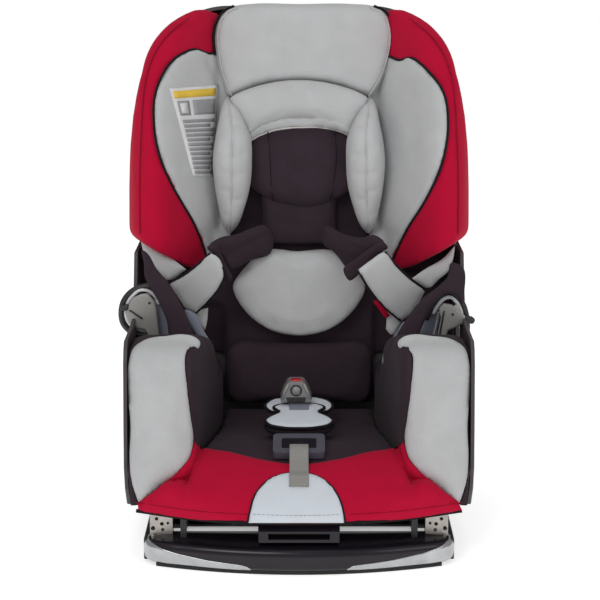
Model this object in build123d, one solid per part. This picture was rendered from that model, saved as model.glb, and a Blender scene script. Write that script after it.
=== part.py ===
"""Convertible child car seat: a moulded bucket on a recline base, with a sliding head module.

Millimetres. -Y is the front, +Z is up, +X is the right hand of someone who faces the seat.
The origin is on the floor under the middle of the seat.
"""
from build123d import *
import math
import os

# ---- overall size
WIDTH = 480.0
DEPTH = 470.0
HEIGHT = 714.0
HALF_WIDTH = WIDTH / 2
FRONT = -DEPTH / 2
REAR = DEPTH / 2
FIT = 0.05          # radial clearance of a running fit
GAP = 1.0           # room between neighbouring soft pieces

# ---- the leaning back: its front surface passes through (BACK_Y, BACK_Z)
LEAN = math.atan(0.2)
BACK_Y = 85.0
BACK_Z = 150.0
UP = Vector(0, math.sin(LEAN), math.cos(LEAN))
OUT = Vector(0, -math.cos(LEAN), math.sin(LEAN))
FOAM = 25.0         # foam thickness in front of the moulded panels
WALL = 5.0          # moulded wall thickness
RIB = 7.0           # height of the ribs behind the back panel

# ---- levels on the back, as heights
WING_FOOT = 384.0
PANEL_TOP = 500.0
MODULE_LOW = 503.0
INSERT_TOP = 600.0
PANEL_HALF = 170.0

# ---- widths
BODY_HALF = 231.0   # outside of the moulded side walls
ARM_INNER_FRONT = 140.0
ARM_INNER_REAR = 112.0
PAD_HALF = 109.0

# ---- base
BASE_HALF = 205.0
RAIL_WIDTH = 24.0
RAIL_TOP = 34.0
FOOT = 5.0
BUMPER_TOP = 38.0
BUMPER_BOW = 40.0
BUMPER_DEPTH = 38.0

# ---- recline: the seat turns about a rear axle, a front bar locks it to index plates
AXLE_Y = 120.0
AXLE_Z = 50.0
AXLE_RADIUS = 6.0
RUNNER_IN = 148.0
RUNNER_OUT = 156.0
BAR_Y = -163.0
BAR_Z = 38.0
BAR_RADIUS = 4.0
BAR_HALF = 166.5
BAR_TRAVEL = 12.0
PLATE_IN = 167.0
PLATE_OUT = 197.0
PLATE_THICK = 2.5
PLATE_FRONT = -175.0
PLATE_REAR = -151.0
PLATE_TOP = 95.0
RECLINE_STEPS = (0.0, 10 / 3, 20 / 3, 10.0)

# ---- the cover's front edge bows forward like the bumper
COVER_FRONT = -225.0
COVER_BOW = 43.0
COVER_HALF = 210.0

SKIRT_LOW = 70.0

# ---- front lip and the harness slots in the back
LIP_HALF = 115.0
HARNESS_LEVELS = (330.0, 382.0, 434.0)
HARNESS_X = 68.0

# ---- head module: posts behind the back, and its release lever's hinge
POST_X = 112.0
POST_DEPTH = -44.0
POST_RADIUS = 6.0
POST_LOW = 330.0
POST_HIGH = 600.0
RELEASE_HEIGHT = 676.0
RELEASE_DEPTH = -39.5

# ---- harness: the sleeve runs from the back to the pad, the pad on to the arm
SLEEVE_TOP = Vector(66, 79, 424)
PAD_TOP = Vector(113, 50, 362)
PAD_END = Vector(163, 20, 313)

# ---- belt levers
LOCK_PIVOT_X = 218.0
LOCK_PIVOT_Z = 306.0
LOCK_PIN_RADIUS = 3.0

# ---- harness adjuster in the pan's hump
BEZEL_Y = -135.0
BEZEL_Z = 141.5
BEZEL_TILT = 17.0
BEZEL_THICK = 10.0
LEVER_THICK = 3.6
LEVER_HINGE = 10.0

# ---- crotch buckle
BUCKLE_PIVOT_Y = -100.0
BUCKLE_PIVOT_Z = 146.0
BUCKLE_TILT = 9.0

SIDES = (("left", -1), ("right", 1))


# ---------------------------------------------------------------- drawing helpers
def polygon(*points):
    """A closed face with straight edges."""
    return make_face(Polyline(*points, close=True))


def rounded(face, radius):
    """The face with every corner rounded."""
    return fillet(face.vertices(), radius)


def closed(*pieces):
    """A face bounded by lines, polylines and arcs that meet end to end."""
    return make_face(Wire([edge for piece in pieces for edge in piece.edges()]))


def side_prism(face, x0, x1):
    """Extrude a face drawn as (Y, Z) from x0 to x1."""
    return extrude(Plane.YZ.offset(x0) * face, amount=x1 - x0)


def front_prism(face, y0, y1):
    """Extrude a face drawn as (X, Z) from y0 back to y1."""
    return extrude(Plane.XZ.offset(-y1) * face, amount=y1 - y0)


def plan_prism(face, z0, z1):
    """Extrude a face drawn as (X, Y) from z0 up to z1."""
    return extrude(Plane.XY.offset(z0) * face, amount=z1 - z0)


def box(x0, x1, y0, y1, z0, z1):
    """A box between two corners."""
    middle = ((x0 + x1) / 2, (y0 + y1) / 2, (z0 + z1) / 2)
    return Pos(*middle) * Box(abs(x1 - x0), y1 - y0, z1 - z0)


def rod_x(radius, x0, x1, y, z):
    """A round bar along X."""
    return Pos((x0 + x1) / 2, y, z) * Rot(0, 90, 0) * Cylinder(radius, x1 - x0)


def sided(shape, sign):
    """A shape drawn on the +X side, placed on the side that sign gives."""
    return shape if sign > 0 else mirror(shape, about=Plane.YZ)


def rise(height):
    """Distance up the leaning back for a height above the floor."""
    return (height - BACK_Z) / math.cos(LEAN)


def back_plane(depth=0.0):
    """Plane parallel to the back's front surface: local x across, local y up the slope."""
    origin = Vector(0, BACK_Y, BACK_Z) + OUT * depth
    return Plane(origin=origin, x_dir=(1, 0, 0), z_dir=OUT)


def back_slab(face, depth0, depth1):
    """Extrude a face drawn as (x, rise) between two distances in front of the back."""
    return extrude(back_plane(depth0) * face, amount=depth1 - depth0)


def on_back(x, height, depth):
    """The point at x and height, at a distance in front of the leaning back."""
    return Vector(x, BACK_Y, BACK_Z) + UP * rise(height) + OUT * depth


def slab_between(start, end, width, thick, facing):
    """A flat strap from start to end; its face looks along facing."""
    along = (end - start).normalized()
    across = along.cross(facing).normalized()
    normal = across.cross(along)
    plane = Plane(origin=(start + end) * 0.5, x_dir=along, z_dir=normal)
    length = (end - start).length
    return plane * Box(length, width, thick)


def bow_band(half, front, bow, thick_middle, thick_end):
    """Plan of a band whose front edge is an arc that stands furthest forward in the middle."""
    outer = ThreePointArc((-half, front + bow), (0, front), (half, front + bow))
    inner = ThreePointArc(
        (half, front + bow + thick_end),
        (0, front + thick_middle),
        (-half, front + bow + thick_end),
    )
    ends = [
        Line((half, front + bow), (half, front + bow + thick_end)),
        Line((-half, front + bow + thick_end), (-half, front + bow)),
    ]
    return closed(outer, ends[0], inner, ends[1])


# ---------------------------------------------------------------- base
def bumper_body(grow=0.0):
    """The front beam, or the same beam grown outwards for the trims that hug it."""
    plan = bow_band(BASE_HALF - 1.5, FRONT, BUMPER_BOW, BUMPER_DEPTH, 12.0)
    if grow:
        plan = offset(plan, amount=grow, kind=Kind.INTERSECTION)
    beam = plan_prism(plan, FOOT - grow, BUMPER_TOP)
    top_front = beam.edges().group_by(Axis.Z)[-1].sort_by(Axis.Y)[0]
    low_front = beam.edges().group_by(Axis.Z)[0].sort_by(Axis.Y)[0]
    return fillet([top_front, low_front], 9.0)


def base_bumper():
    """Glossy front beam."""
    return bumper_body()


def base_trim(sign):
    """Silver cap on the lower front and the end of the beam, with a gently waved top edge."""
    shell = bumper_body(1.4) - bumper_body(0.1)
    wave = Spline(
        (199, 18), (160, 19), (117, 15), (80, 12.5), (68, 11), tangents=((-1, 0), (-1, -0.2)),
    )
    edge = [
        wave,
        Line((68, 11), (60, 5.1)),
        Polyline((60, 5.1), (210, 5.1), (210, 36), (199, 36), (199, 18)),
    ]
    reach = front_prism(closed(*edge), FRONT, -183.5)
    return sided(shell & reach, sign)


def base_rail(sign):
    """Side rail of the base, drilled for the bracket screws."""
    inner = BASE_HALF - RAIL_WIDTH
    plan = rounded(polygon((inner, -183), (BASE_HALF, -183), (BASE_HALF, 194), (inner, 194)), 3.0)
    rail = plan_prism(plan, FOOT, RAIL_TOP)
    rail = fillet(rail.edges().group_by(Axis.Z)[-1], 2.5)
    for x, y in screw_places():
        rail -= Pos(x, y, RAIL_TOP) * Cylinder(2.5 + FIT, 24.0)
    return sided(rail, sign)


def screw_places():
    """Screws that hold the index plate and the pivot bracket to the right rail."""
    return [(190.0, -163.0), (197.0, 103.0), (197.0, 137.0)]


def base_rear_bar():
    """Rear bar that closes the base."""
    plan = polygon((-BASE_HALF, 195), (BASE_HALF, 195), (BASE_HALF, REAR), (-BASE_HALF, REAR))
    rear_corners = plan.vertices().group_by(Axis.Y)[-1]
    bar = plan_prism(fillet(rear_corners, 30.0), FOOT, RAIL_TOP)
    return fillet(bar.edges().group_by(Axis.Z)[-1], 4.0)


def base_tray():
    """Ribbed floor plate between the rails."""
    half = BASE_HALF - RAIL_WIDTH - GAP
    tray = box(-half, half, -180, 194, 9, 12)
    for y in (-140.0, -50.0, 40.0, 130.0):
        tray += box(-half, half, y - 2, y + 2, 11, 16)
    for x in (-90.0, 0.0, 90.0):
        tray += box(x - 2, x + 2, -138, 128, 11, 15)
    return tray


def base_feet():
    """Rubber strips under the beam and the rear bar."""
    front = plan_prism(bow_band(188.0, FRONT + 6, 34.0, 24.0, 10.0), 0, FOOT)
    rear = plan_prism(Pos(0, 216) * RectangleRounded(340, 22, 6), 0, FOOT)
    pads = [
        plan_prism(Pos(s * 193, y) * RectangleRounded(16, 60, 6), 0, FOOT)
        for s in (-1, 1)
        for y in (-135.0, 140.0)
    ]
    return Compound([front, rear, *pads])


def index_hole(angle):
    """Centre of the plate hole that the bar meets at a recline angle."""
    reach_y = BAR_Y - AXLE_Y
    reach_z = BAR_Z - AXLE_Z
    turn = math.radians(angle)
    y = AXLE_Y + reach_y * math.cos(turn) + reach_z * math.sin(turn)
    z = AXLE_Z + reach_z * math.cos(turn) - reach_y * math.sin(turn)
    return y, z


def index_plate(sign):
    """Folded steel bracket: a pierced front web and two ears with the recline holes."""
    low = RAIL_TOP
    web = box(PLATE_IN, PLATE_OUT, PLATE_FRONT, PLATE_FRONT + PLATE_THICK, low, PLATE_TOP)
    inner = box(PLATE_IN, PLATE_IN + PLATE_THICK, PLATE_FRONT, PLATE_REAR, low, PLATE_TOP)
    outer = box(PLATE_OUT - PLATE_THICK, PLATE_OUT, PLATE_FRONT, PLATE_REAR, low, PLATE_TOP)
    foot = box(PLATE_IN, PLATE_OUT, PLATE_FRONT, PLATE_REAR, low, low + PLATE_THICK)
    plate = web + inner + outer + foot
    for angle in RECLINE_STEPS:
        y, z = index_hole(angle)
        plate -= rod_x(BAR_RADIUS + 0.6, PLATE_IN - 1, PLATE_OUT + 1, y, z)
    for x, z, radius in ((188, 58, 2.4), (181, 51, 2.6), (193, 45, 3.0), (180, 43, 2.4), (173, 52, 2.0)):
        plate -= Pos(x, PLATE_FRONT, z) * Rot(90, 0, 0) * Cylinder(radius, 12.0)
    x, y = screw_places()[0]
    plate -= Pos(x, y, low) * Cylinder(2.5 + FIT, 12.0)
    return sided(plate, sign)


def pivot_bracket(sign):
    """Steel ear on the rail that carries the rear axle."""
    ear_face = polygon((98, RAIL_TOP), (142, RAIL_TOP), (134, 64), (106, 64))
    ear = side_prism(fillet(ear_face.vertices().group_by(Axis.Y)[-1], 8.0), 183, 188)
    foot = box(183, 203, 96, 144, RAIL_TOP, RAIL_TOP + 3)
    bracket = ear + foot - rod_x(AXLE_RADIUS + FIT, 180, 190, AXLE_Y, AXLE_Z)
    for x, y in screw_places()[1:]:
        bracket -= Pos(x, y, RAIL_TOP) * Cylinder(2.5 + FIT, 12.0)
    return sided(bracket, sign)


def bracket_screws():
    """Button-head screws in the index plates and the pivot brackets."""
    screws = []
    for x, y in screw_places():
        floor = RAIL_TOP + (PLATE_THICK if y < 0 else 3.0)
        shank = Pos(x, y, floor - 5) * Cylinder(2.5, 10.0)
        head = Pos(x, y, floor + 1.5) * Cylinder(4.5, 3.0)
        screw = fillet((shank + head).edges().group_by(Axis.Z)[-1], 1.2)
        screws += [sided(screw, s) for s in (-1, 1)]
    return Compound(screws)


def pivot_axle():
    """Rear axle with a flat head at each end."""
    axle = rod_x(AXLE_RADIUS, -192, 192, AXLE_Y, AXLE_Z)
    for s in (-1, 1):
        axle += sided(rod_x(9.0, 188.4, 192, AXLE_Y, AXLE_Z), s)
    return axle


# ---------------------------------------------------------------- recline latch
def latch_bar():
    """Polished square bar with a round pin at each end that enters the index plates."""
    half = BAR_RADIUS
    bar = box(-154, 154, BAR_Y - half, BAR_Y + half, BAR_Z - half, BAR_Z + half)
    bar = fillet(bar.edges().filter_by(Axis.X), 0.8)
    return bar + rod_x(BAR_RADIUS - 1.2, -BAR_HALF, BAR_HALF, BAR_Y, BAR_Z)


def recline_handle():
    """Pull handle in the middle of the front, moulded round the bar."""
    profile = polygon(
        (-221, 41), (-221, 56), (-214, 63), (-156, 63), (-156, 32), (-182, 32), (-182, 41),
    )
    handle = side_prism(profile, -53, 53)
    handle = fillet(handle.edges().filter_by(Axis.Z), 2.0)
    grip = box(-40, 40, -230, -203, 45, 53) + box(-40, 40, -215, -203, 45, 59)
    fit = BAR_RADIUS + FIT
    return handle - grip - box(-60, 60, BAR_Y - fit, BAR_Y + fit, BAR_Z - fit, BAR_Z + fit)


def recline_runner(sign):
    """Steel side plate under the pan: axle lug at the rear, bar slot at the front."""
    outline = polygon(
        (-186, 93.5), (-186, 29), (-152, 29), (-136, 46), (90, 46), (104, 38),
        (136, 38), (136, 62), (88, 93.5),
    )
    plate = side_prism(fillet(outline.vertices().group_by(Axis.Y)[0], 4.0), RUNNER_IN, RUNNER_OUT)
    plate -= rod_x(AXLE_RADIUS + FIT, 140, 160, AXLE_Y, AXLE_Z)
    slot = BAR_RADIUS + 0.4
    plate -= box(140, 160, BAR_Y - BAR_TRAVEL - slot, BAR_Y + slot, BAR_Z - slot, BAR_Z + slot)
    return sided(plate, sign)


# ---------------------------------------------------------------- moulded bucket
def arm_outline():
    """Side view of the moulded side wall."""
    top = [(-139, 280), (-128, 289), (-45, 289), (2, 293)]
    shoulder = [(30, 335), (46, 375), (186, 375)]
    tail = [(165, 95), (150, 62), (120, 54), (-100, 54)]
    front = [(-132, 64), (-156, 92), (-166, 124), (-160, 180), (-147, 262)]
    return polygon(*top, *shoulder, *tail, *front)


def upright_rib(x, low, high, depth, reach):
    """A rib up the back of a panel, from depth to reach further back."""
    face = polygon((x - 2, rise(low)), (x + 2, rise(low)), (x + 2, rise(high)), (x - 2, rise(high)))
    return back_slab(face, depth - reach, depth + 1)


def level_rib(half, height, depth, reach):
    """A rib across the back of a panel."""
    low = rise(height)
    high = rise(height + 4)
    face = polygon((-half, low), (half, low), (half, high), (-half, high))
    return back_slab(face, depth - reach, depth + 1)


def belt_opening(x0, x1):
    """Space the vehicle belt takes through a side wall."""
    face = rounded(polygon((34, 212), (92, 212), (98, 292), (40, 292)), 10.0)
    return side_prism(face, x0, x1)


def seat_shell():
    """Bucket: two side walls, a leaning back panel, the pan and the front lip, with ribs behind."""
    face = arm_outline()
    wall = side_prism(face, BODY_HALF - WALL, BODY_HALF)
    wall = fillet(wall.edges().group_by(Axis.X)[-1], 2.0)
    wall -= belt_opening(BODY_HALF - 20, BODY_HALF + 10)
    shell = sided(wall, 1) + sided(wall, -1)
    inner = BODY_HALF - WALL / 2
    lower = polygon((-inner, rise(92)), (inner, rise(92)), (inner, rise(372)), (-inner, rise(372)))
    upper = polygon(
        (-PANEL_HALF, rise(360)), (PANEL_HALF, rise(360)),
        (PANEL_HALF, rise(PANEL_TOP)), (-PANEL_HALF, rise(PANEL_TOP)),
    )
    upper = fillet(upper.vertices().group_by(Axis.Y)[-1], 20.0)
    shell += back_slab(lower, -FOAM - WALL, -FOAM)
    shell += back_slab(upper, -FOAM - WALL, -FOAM)
    shell += box(-inner, inner, -145, 104, 94, 99)
    shell += box(-157, 157, -190, -140, 94, 99)
    shell += box(-LIP_HALF, LIP_HALF, -200, -185, 94, 99)
    shell += box(-LIP_HALF, LIP_HALF, -200, -196, 66, 99)
    for x in (-168.0, -60.0, 60.0, 168.0):
        shell += upright_rib(x, 105, 372, -FOAM - WALL, RIB)
    for height in (150.0, 235.0):
        shell += level_rib(inner, height, -FOAM - WALL, RIB)
    for height in HARNESS_LEVELS:
        for x in (-HARNESS_X, HARNESS_X):
            slot = Pos(x, rise(height)) * RectangleRounded(50, 9, 4)
            shell -= back_slab(slot, -FOAM - WALL - 30, -FOAM + 5)
    return shell


def post_sockets():
    """Guide sleeves for the head module's posts, on the back of the bucket."""
    sleeves = []
    for x in (-POST_X, POST_X):
        for height in (395.0, 470.0):
            block = Pos(x, rise(height)) * Rectangle(30, 26)
            sleeve = back_slab(block, POST_DEPTH - 11, -FOAM - WALL)
            sleeve -= post(x, POST_RADIUS + FIT, POST_LOW - 20, POST_HIGH + 20)
            sleeves.append(sleeve)
    return Compound(sleeves)


def post(x, radius, low, high):
    """A round post up the slope behind the back."""
    start = on_back(x, low, POST_DEPTH)
    length = (high - low) / math.cos(LEAN)
    return Plane(origin=start + UP * (length / 2), x_dir=(1, 0, 0), z_dir=UP) * Cylinder(radius, length)


def harness_splitter():
    """Steel yoke behind the back where the two shoulder straps meet the single adjuster strap."""
    face = rounded(polygon((-46, rise(268)), (46, rise(268)), (40, rise(296)), (-40, rise(296))), 6.0)
    plate = back_slab(face, -62.0, -59.0)
    for x in (-26.0, 26.0):
        plate -= back_slab(Pos(x, rise(287)) * RectangleRounded(34, 7, 3), -65, -56)
    return plate - back_slab(Pos(0, rise(274)) * RectangleRounded(44, 6, 2.5), -65, -56)


def harness_rear_straps():
    """Webbing behind the back: two straps down to the yoke and one on down under the pan."""
    straps = []
    for s in (-1, 1):
        low = on_back(s * 30, 300, -60.5)
        high = on_back(s * HARNESS_X, 428, -50.5)
        straps.append(slab_between(low, high, 32, 1.6, OUT))
    low = on_back(0, 112, -60.5)
    straps.append(slab_between(low, on_back(0, 266, -60.5), 36, 1.6, OUT))
    return Compound(straps)


# ---------------------------------------------------------------- soft parts of the bucket
def seat_plan():
    """Plan of the pan cushion between the arms, with its bowed front."""
    corner = -206.0
    side = [(137, corner), (137, -160), (PAD_HALF, 45), (PAD_HALF, 83)]
    return closed(
        ThreePointArc((-137, corner), (0, corner - 26), (137, corner)),
        Polyline(*side),
        Line((PAD_HALF, 83), (-PAD_HALF, 83)),
        Polyline(*[(-x, y) for x, y in reversed(side)]),
    )


def apron():
    """The cover's front skirt, spreading below the arms."""
    band = bow_band(COVER_HALF, COVER_FRONT, COVER_BOW, 6.0, 6.0)
    skirt = plan_prism(band, SKIRT_LOW, 134)
    edge = COVER_HALF + 2
    flare = polygon((-138, 136), (138, 136), (edge, 72), (edge, 60), (-edge, 60), (-edge, 72))
    slope = polygon(
        (-228, 60), (-226, 70), (-212, 94), (-192, 113), (-178, 121), (-150, 134), (-150, 60),
    )
    return skirt & front_prism(flare, -240, -150) & side_prism(slope, -edge, edge)


def seat_cushion():
    """Pan cushion with a low hump at the front and the skirt that rolls over the lip."""
    profile = polygon(
        (82, 100), (78, 141), (0, 133), (-90, 138), (-118, 140), (-145, 134), (-163, 127),
        (-190, 113), (-210, 94), (-224, 70), (-202, 70), (-202, 100),
    )
    core = side_prism(profile, -138, 138) & plan_prism(seat_plan(), 60, 150)
    return core + apron()


def side_bolster(sign):
    """Foam arm between the pan and the side wall."""
    outline = polygon(
        (-186, 72), (-181, 110), (-164, 180), (-151, 262), (-137, 281), (-100, 284), (-45, 279),
        (-5, 268), (26, 235), (30, 205), (118, 205), (100, 110), (30, 100), (-144, 100), (-144, 103),
        (-176, 103), (-180, 72),
    )
    body = side_prism(outline, 100, BODY_HALF - WALL - GAP)
    plan = polygon(
        (ARM_INNER_FRONT, -200), (226, -200), (226, 130), (ARM_INNER_REAR, 130),
        (ARM_INNER_REAR, 45), (ARM_INNER_FRONT, -160),
    )
    body = body & plan_prism(plan, 60, 300)
    edge = COVER_HALF + 4
    flare = polygon((137, 137.5), (edge, 71), (edge, 50), (100, 50), (100, 137.5))
    body -= front_prism(flare, -240, -176)
    return sided(body, sign)


def back_cushion():
    """Foam on the back panel, narrow behind the insert, with a thin lining out to the side walls."""
    outline = polygon(
        (-PAD_HALF, rise(144)), (PAD_HALF, rise(144)), (PAD_HALF, rise(286)), (PANEL_HALF, rise(292)),
        (PANEL_HALF, rise(332)), (PAD_HALF, rise(336)), (PAD_HALF, rise(PANEL_TOP)),
        (-PAD_HALF, rise(PANEL_TOP)), (-PAD_HALF, rise(336)), (-PANEL_HALF, rise(332)),
        (-PANEL_HALF, rise(292)), (-PAD_HALF, rise(286)),
    )
    cushion = back_slab(outline, -FOAM + GAP, 0)
    reach = BODY_HALF - WALL - GAP
    lining = polygon((-reach, rise(213)), (reach, rise(213)), (reach, rise(376)), (-reach, rise(376)))
    cushion += back_slab(lining, -FOAM + GAP, -FOAM + 6)
    for height in HARNESS_LEVELS:
        for x in (-HARNESS_X, HARNESS_X):
            slot = Pos(x, rise(height)) * RectangleRounded(50, 8, 3.5)
            cushion -= back_slab(slot, -FOAM - 5, 5)
    return cushion


def lumbar_pad():
    """Dark pad low on the back."""
    face = polygon((-106, rise(144)), (106, rise(144)), (106, rise(236)), (-106, rise(236)))
    return back_slab(fillet(face.vertices(), 24.0), GAP, 24)


def insert_outline(grow=0.0):
    """Outline of the newborn insert's upper part: a dome over the head area that narrows below."""
    side = 102 + grow
    return closed(
        ThreePointArc((-side, rise(576)), (0, rise(INSERT_TOP) + grow), (side, rise(576))),
        Polyline((side, rise(576)), (74 + grow, rise(522)), (-74 - grow, rise(522)), (-side, rise(576))),
    )


def insert_arch_pillow():
    """Arched pillow over the top of the insert, thin at its two feet."""
    hollow = closed(
        ThreePointArc((-72, rise(522)), (0, rise(542)), (72, rise(522))),
        Polyline((72, rise(522)), (72, rise(500)), (-72, rise(500)), (-72, rise(522))),
    )
    outer = insert_outline() - (Pos(0, 1) * hollow)
    return back_slab(outer, 2, 46)


def insert_body():
    """Dark middle of the insert: the head pad and the thinner quilted part below it."""
    head = closed(
        ThreePointArc((-68, rise(520)), (0, rise(540)), (68, rise(520))),
        Line((68, rise(520)), (68, rise(456))),
        ThreePointArc((68, rise(456)), (0, rise(432)), (-68, rise(456))),
        Line((-68, rise(456)), (-68, rise(520))),
    )
    quilt = polygon((-56, rise(368)), (56, rise(368)), (62, rise(460)), (-62, rise(460)))
    return back_slab(head, 2, 30) + back_slab(quilt, 2, 22)


def insert_side_pillow(sign):
    """Tall pillow beside the head, pointed at its two ends and tucked behind the harness below."""
    inner = ThreePointArc((94, rise(398)), (74, rise(482)), (102, rise(570)))
    outer = ThreePointArc((102, rise(570)), (122, rise(492)), (106, rise(398)))
    pillow = back_slab(closed(inner, outer, Line((106, rise(398)), (94, rise(398)))), 15, 86)
    side = Plane(origin=on_back(0, BACK_Z, 0), x_dir=UP, z_dir=(1, 0, 0))
    profile = polygon(
        (rise(390), 10), (rise(390), 34), (rise(424), 42), (rise(452), 86), (rise(520), 86),
        (rise(575), 50), (rise(575), 10),
    )
    pillow = pillow & extrude(side * profile, amount=200)
    return sided(pillow, sign)


def belly_pad():
    """Round pillow at the sitter's back."""
    arc = ThreePointArc((99, rise(312)), (0, rise(241)), (-99, rise(312)))
    top = Polyline((-99, rise(312)), (-56, rise(364)), (56, rise(364)), (99, rise(312)))
    return back_slab(closed(arc, top), 2, 42)


def label_flap():
    """Half-round cloth patch on the front skirt, left blank."""
    sheet = polygon(
        (-229, 70), (-214, 96), (-193, 116), (-172, 127),
        (-171, 125), (-192, 114), (-213, 94.5), (-227, 70),
    )
    face = closed(ThreePointArc((-61, 72), (0, 119), (61, 72)), Line((61, 72), (-61, 72)))
    return side_prism(sheet, -70, 70) & front_prism(face, -240, -160)


# ---------------------------------------------------------------- harness
def harness_sleeve(sign):
    """Covered shoulder strap from the back slot out to the shoulder pad."""
    return sided(slab_between(SLEEVE_TOP, PAD_TOP, 34, 8, Vector(0.2, -1, 0.3)), sign)


def shoulder_pad(sign):
    """Padded sleeve that lies open on the wing."""
    along = (PAD_END - PAD_TOP).normalized()
    start = PAD_TOP + along * 4
    return sided(slab_between(start, PAD_END, 50, 13, Vector(-0.35, -1, 0.3)), sign)


def hip_strap(sign):
    """Webbing from the shoulder pad's end down to the anchor beside the pan."""
    start = Vector(163, 30, 306)
    end = Vector(116, 52, 240)
    return sided(slab_between(start, end, 26, 1.6, Vector(-0.5, -1, 0.2)), sign)


def belt_band(sign):
    """Dark cover band that runs from the wing's foot to the arm."""
    start = Vector(203, -6, 366)
    end = Vector(168, -14, 299)
    return sided(slab_between(start, end, 34, 6, Vector(-0.2, -1, 0.2)), sign)


def lock_rod(radius, y0, y1):
    """A round bar along Y through the belt lever's hinge."""
    return Pos(LOCK_PIVOT_X, (y0 + y1) / 2, LOCK_PIVOT_Z) * Rot(90, 0, 0) * Cylinder(radius, y1 - y0)


def lockoff_housing(sign):
    """Belt guide fixed on the inside of the wall: a rounded plate with a rim."""
    tilt = Rot(0, 0, 18)
    face = Pos(209, 318) * tilt * Ellipse(21, 34)
    plate = front_prism(face, 8, 20) & box(180, BODY_HALF - WALL - 0.5, -50, 60, 250, 380)
    pocket = front_prism(Pos(208, 322) * tilt * Ellipse(14, 22), 5, 13)
    return sided(plate - pocket - lock_rod(LOCK_PIN_RADIUS + FIT, 0, 30), sign)


def lockoff_lever(sign):
    """Lever that clamps the vehicle belt, hinged at its foot and leaning inwards."""
    blade = polygon((211, 304), (225, 304), (223, 330), (214, 346), (198, 340), (194, 322))
    lever = front_prism(rounded(blade, 4.0), -4, 6) + lock_rod(6.5, -4, 6)
    return sided(lever - lock_rod(LOCK_PIN_RADIUS + FIT, -10, 10), sign)


def lockoff_pins():
    """Hinge pins of the two belt levers."""
    pin = lock_rod(LOCK_PIN_RADIUS, -5, 18) + lock_rod(5.0, -7, -4.6)
    return Compound([sided(pin, s) for s in (-1, 1)])


# ---------------------------------------------------------------- harness adjuster in the pan's hump
def adjuster_plane(lift=0.0):
    """Plane on the hump: local x across, local y up the slope towards the sitter."""
    tilt = math.radians(BEZEL_TILT)
    normal = Vector(0, -math.sin(tilt), math.cos(tilt))
    return Plane(origin=Vector(0, BEZEL_Y, BEZEL_Z) + normal * lift, x_dir=(1, 0, 0), z_dir=normal)


def adjuster_bezel():
    """Moulded frame round the harness release."""
    frame = extrude(adjuster_plane() * RectangleRounded(69, 46, 6), amount=BEZEL_THICK)
    window = extrude(adjuster_plane(2.0) * RectangleRounded(46, 24, 3), amount=10)
    return frame - window


def adjuster_lever():
    """Press lever in the frame's window, round along its hinge; it lets the harness strap out."""
    front = -11.3
    plate = Pos(0, (front + LEVER_HINGE) / 2) * RectangleRounded(44.6, LEVER_HINGE - front, 2.5)
    lever = extrude(adjuster_plane(BEZEL_THICK - LEVER_THICK) * plate, amount=LEVER_THICK)
    middle = BEZEL_THICK - LEVER_THICK / 2
    hinge = adjuster_plane(middle).from_local_coords((0, LEVER_HINGE, 0))
    return lever + rod_x(LEVER_THICK / 2, -19.8, 19.8, hinge.Y, hinge.Z)


def adjuster_strap():
    """Pull strap that hangs over the front skirt."""
    return slab_between(Vector(0, -161, 136), Vector(0, -202, 113), 26, 1.8, Vector(0, -0.5, 1))


# ---------------------------------------------------------------- crotch buckle
def crotch_plane(lift=0.0):
    """Plane along the crotch strap: local x across, local y along the strap to the rear."""
    tilt = math.radians(BUCKLE_TILT)
    normal = Vector(0, -math.sin(tilt), math.cos(tilt))
    origin = Vector(0, BUCKLE_PIVOT_Y, BUCKLE_PIVOT_Z) + normal * lift
    return Plane(origin=origin, x_dir=(1, 0, 0), z_dir=normal)


def crotch_pad():
    """Hourglass pad: a lobe in front of the buckle and a wider one under it."""
    front_lobe = Pos(0, 22) * Ellipse(47, 20)
    rear_lobe = Pos(0, 92) * Ellipse(48, 28)
    waist = Pos(0, 55) * Rectangle(44, 60)
    pad = extrude(crotch_plane(0.0) * (front_lobe + rear_lobe + waist), amount=9)
    return pad - box(-17.6, 17.6, BUCKLE_PIVOT_Y - 10, BUCKLE_PIVOT_Y + 4, 130, 170)


def crotch_strap():
    """Webbing from its hinge loop at the pan slot, over the pad, to the buckle."""
    top = extrude(crotch_plane(9.3) * (Pos(0, 39) * Rectangle(34, 82)), amount=2.2)
    fall = extrude(crotch_plane(0.0) * (Pos(0, -0.9) * Rectangle(34, 2.2)), amount=11.5)
    return top + fall + rod_x(3.0, -17, 17, BUCKLE_PIVOT_Y, BUCKLE_PIVOT_Z)


def buckle_housing():
    """Buckle body with a bore for the red button at its upper end."""
    outline = polygon((-16, 84), (16, 84), (20, 118), (15, 146), (-15, 146), (-20, 118))
    body = extrude(crotch_plane(9.4) * rounded(outline, 5.0), amount=18)
    pocket = extrude(crotch_plane(14.0) * (Pos(0, 140) * RectangleRounded(24, 24, 3)), amount=20)
    return body - pocket


def buckle_button():
    """Red release button that slides into the buckle."""
    face = Pos(0, 142.5) * RectangleRounded(23, 15, 3)
    return extrude(crotch_plane(14.5) * face, amount=11)


# ---------------------------------------------------------------- head module
def module_outline():
    """Front view of the whole head module as drawn on the back plane."""
    top = rise(HEIGHT - 6)
    edge = HALF_WIDTH
    right = [
        Line((0, top), (104, top)),
        ThreePointArc((104, top), (178, rise(680)), (217, rise(606))),
        ThreePointArc((217, rise(606)), (234, rise(520)), (edge, rise(430))),
        Line((edge, rise(430)), (edge, rise(WING_FOOT))),
    ]
    left = [mirror(part, about=Plane.YZ) for part in right]
    foot = Line((-edge, rise(WING_FOOT)), (edge, rise(WING_FOOT)))
    return closed(*right, *left, foot)


def panel_notch():
    """The part of the module outline that the bucket's back panel fills."""
    half = PANEL_HALF + 2
    low = rise(200)
    high = rise(MODULE_LOW)
    return polygon((-half, low), (half, low), (half, high), (-half, high))


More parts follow.
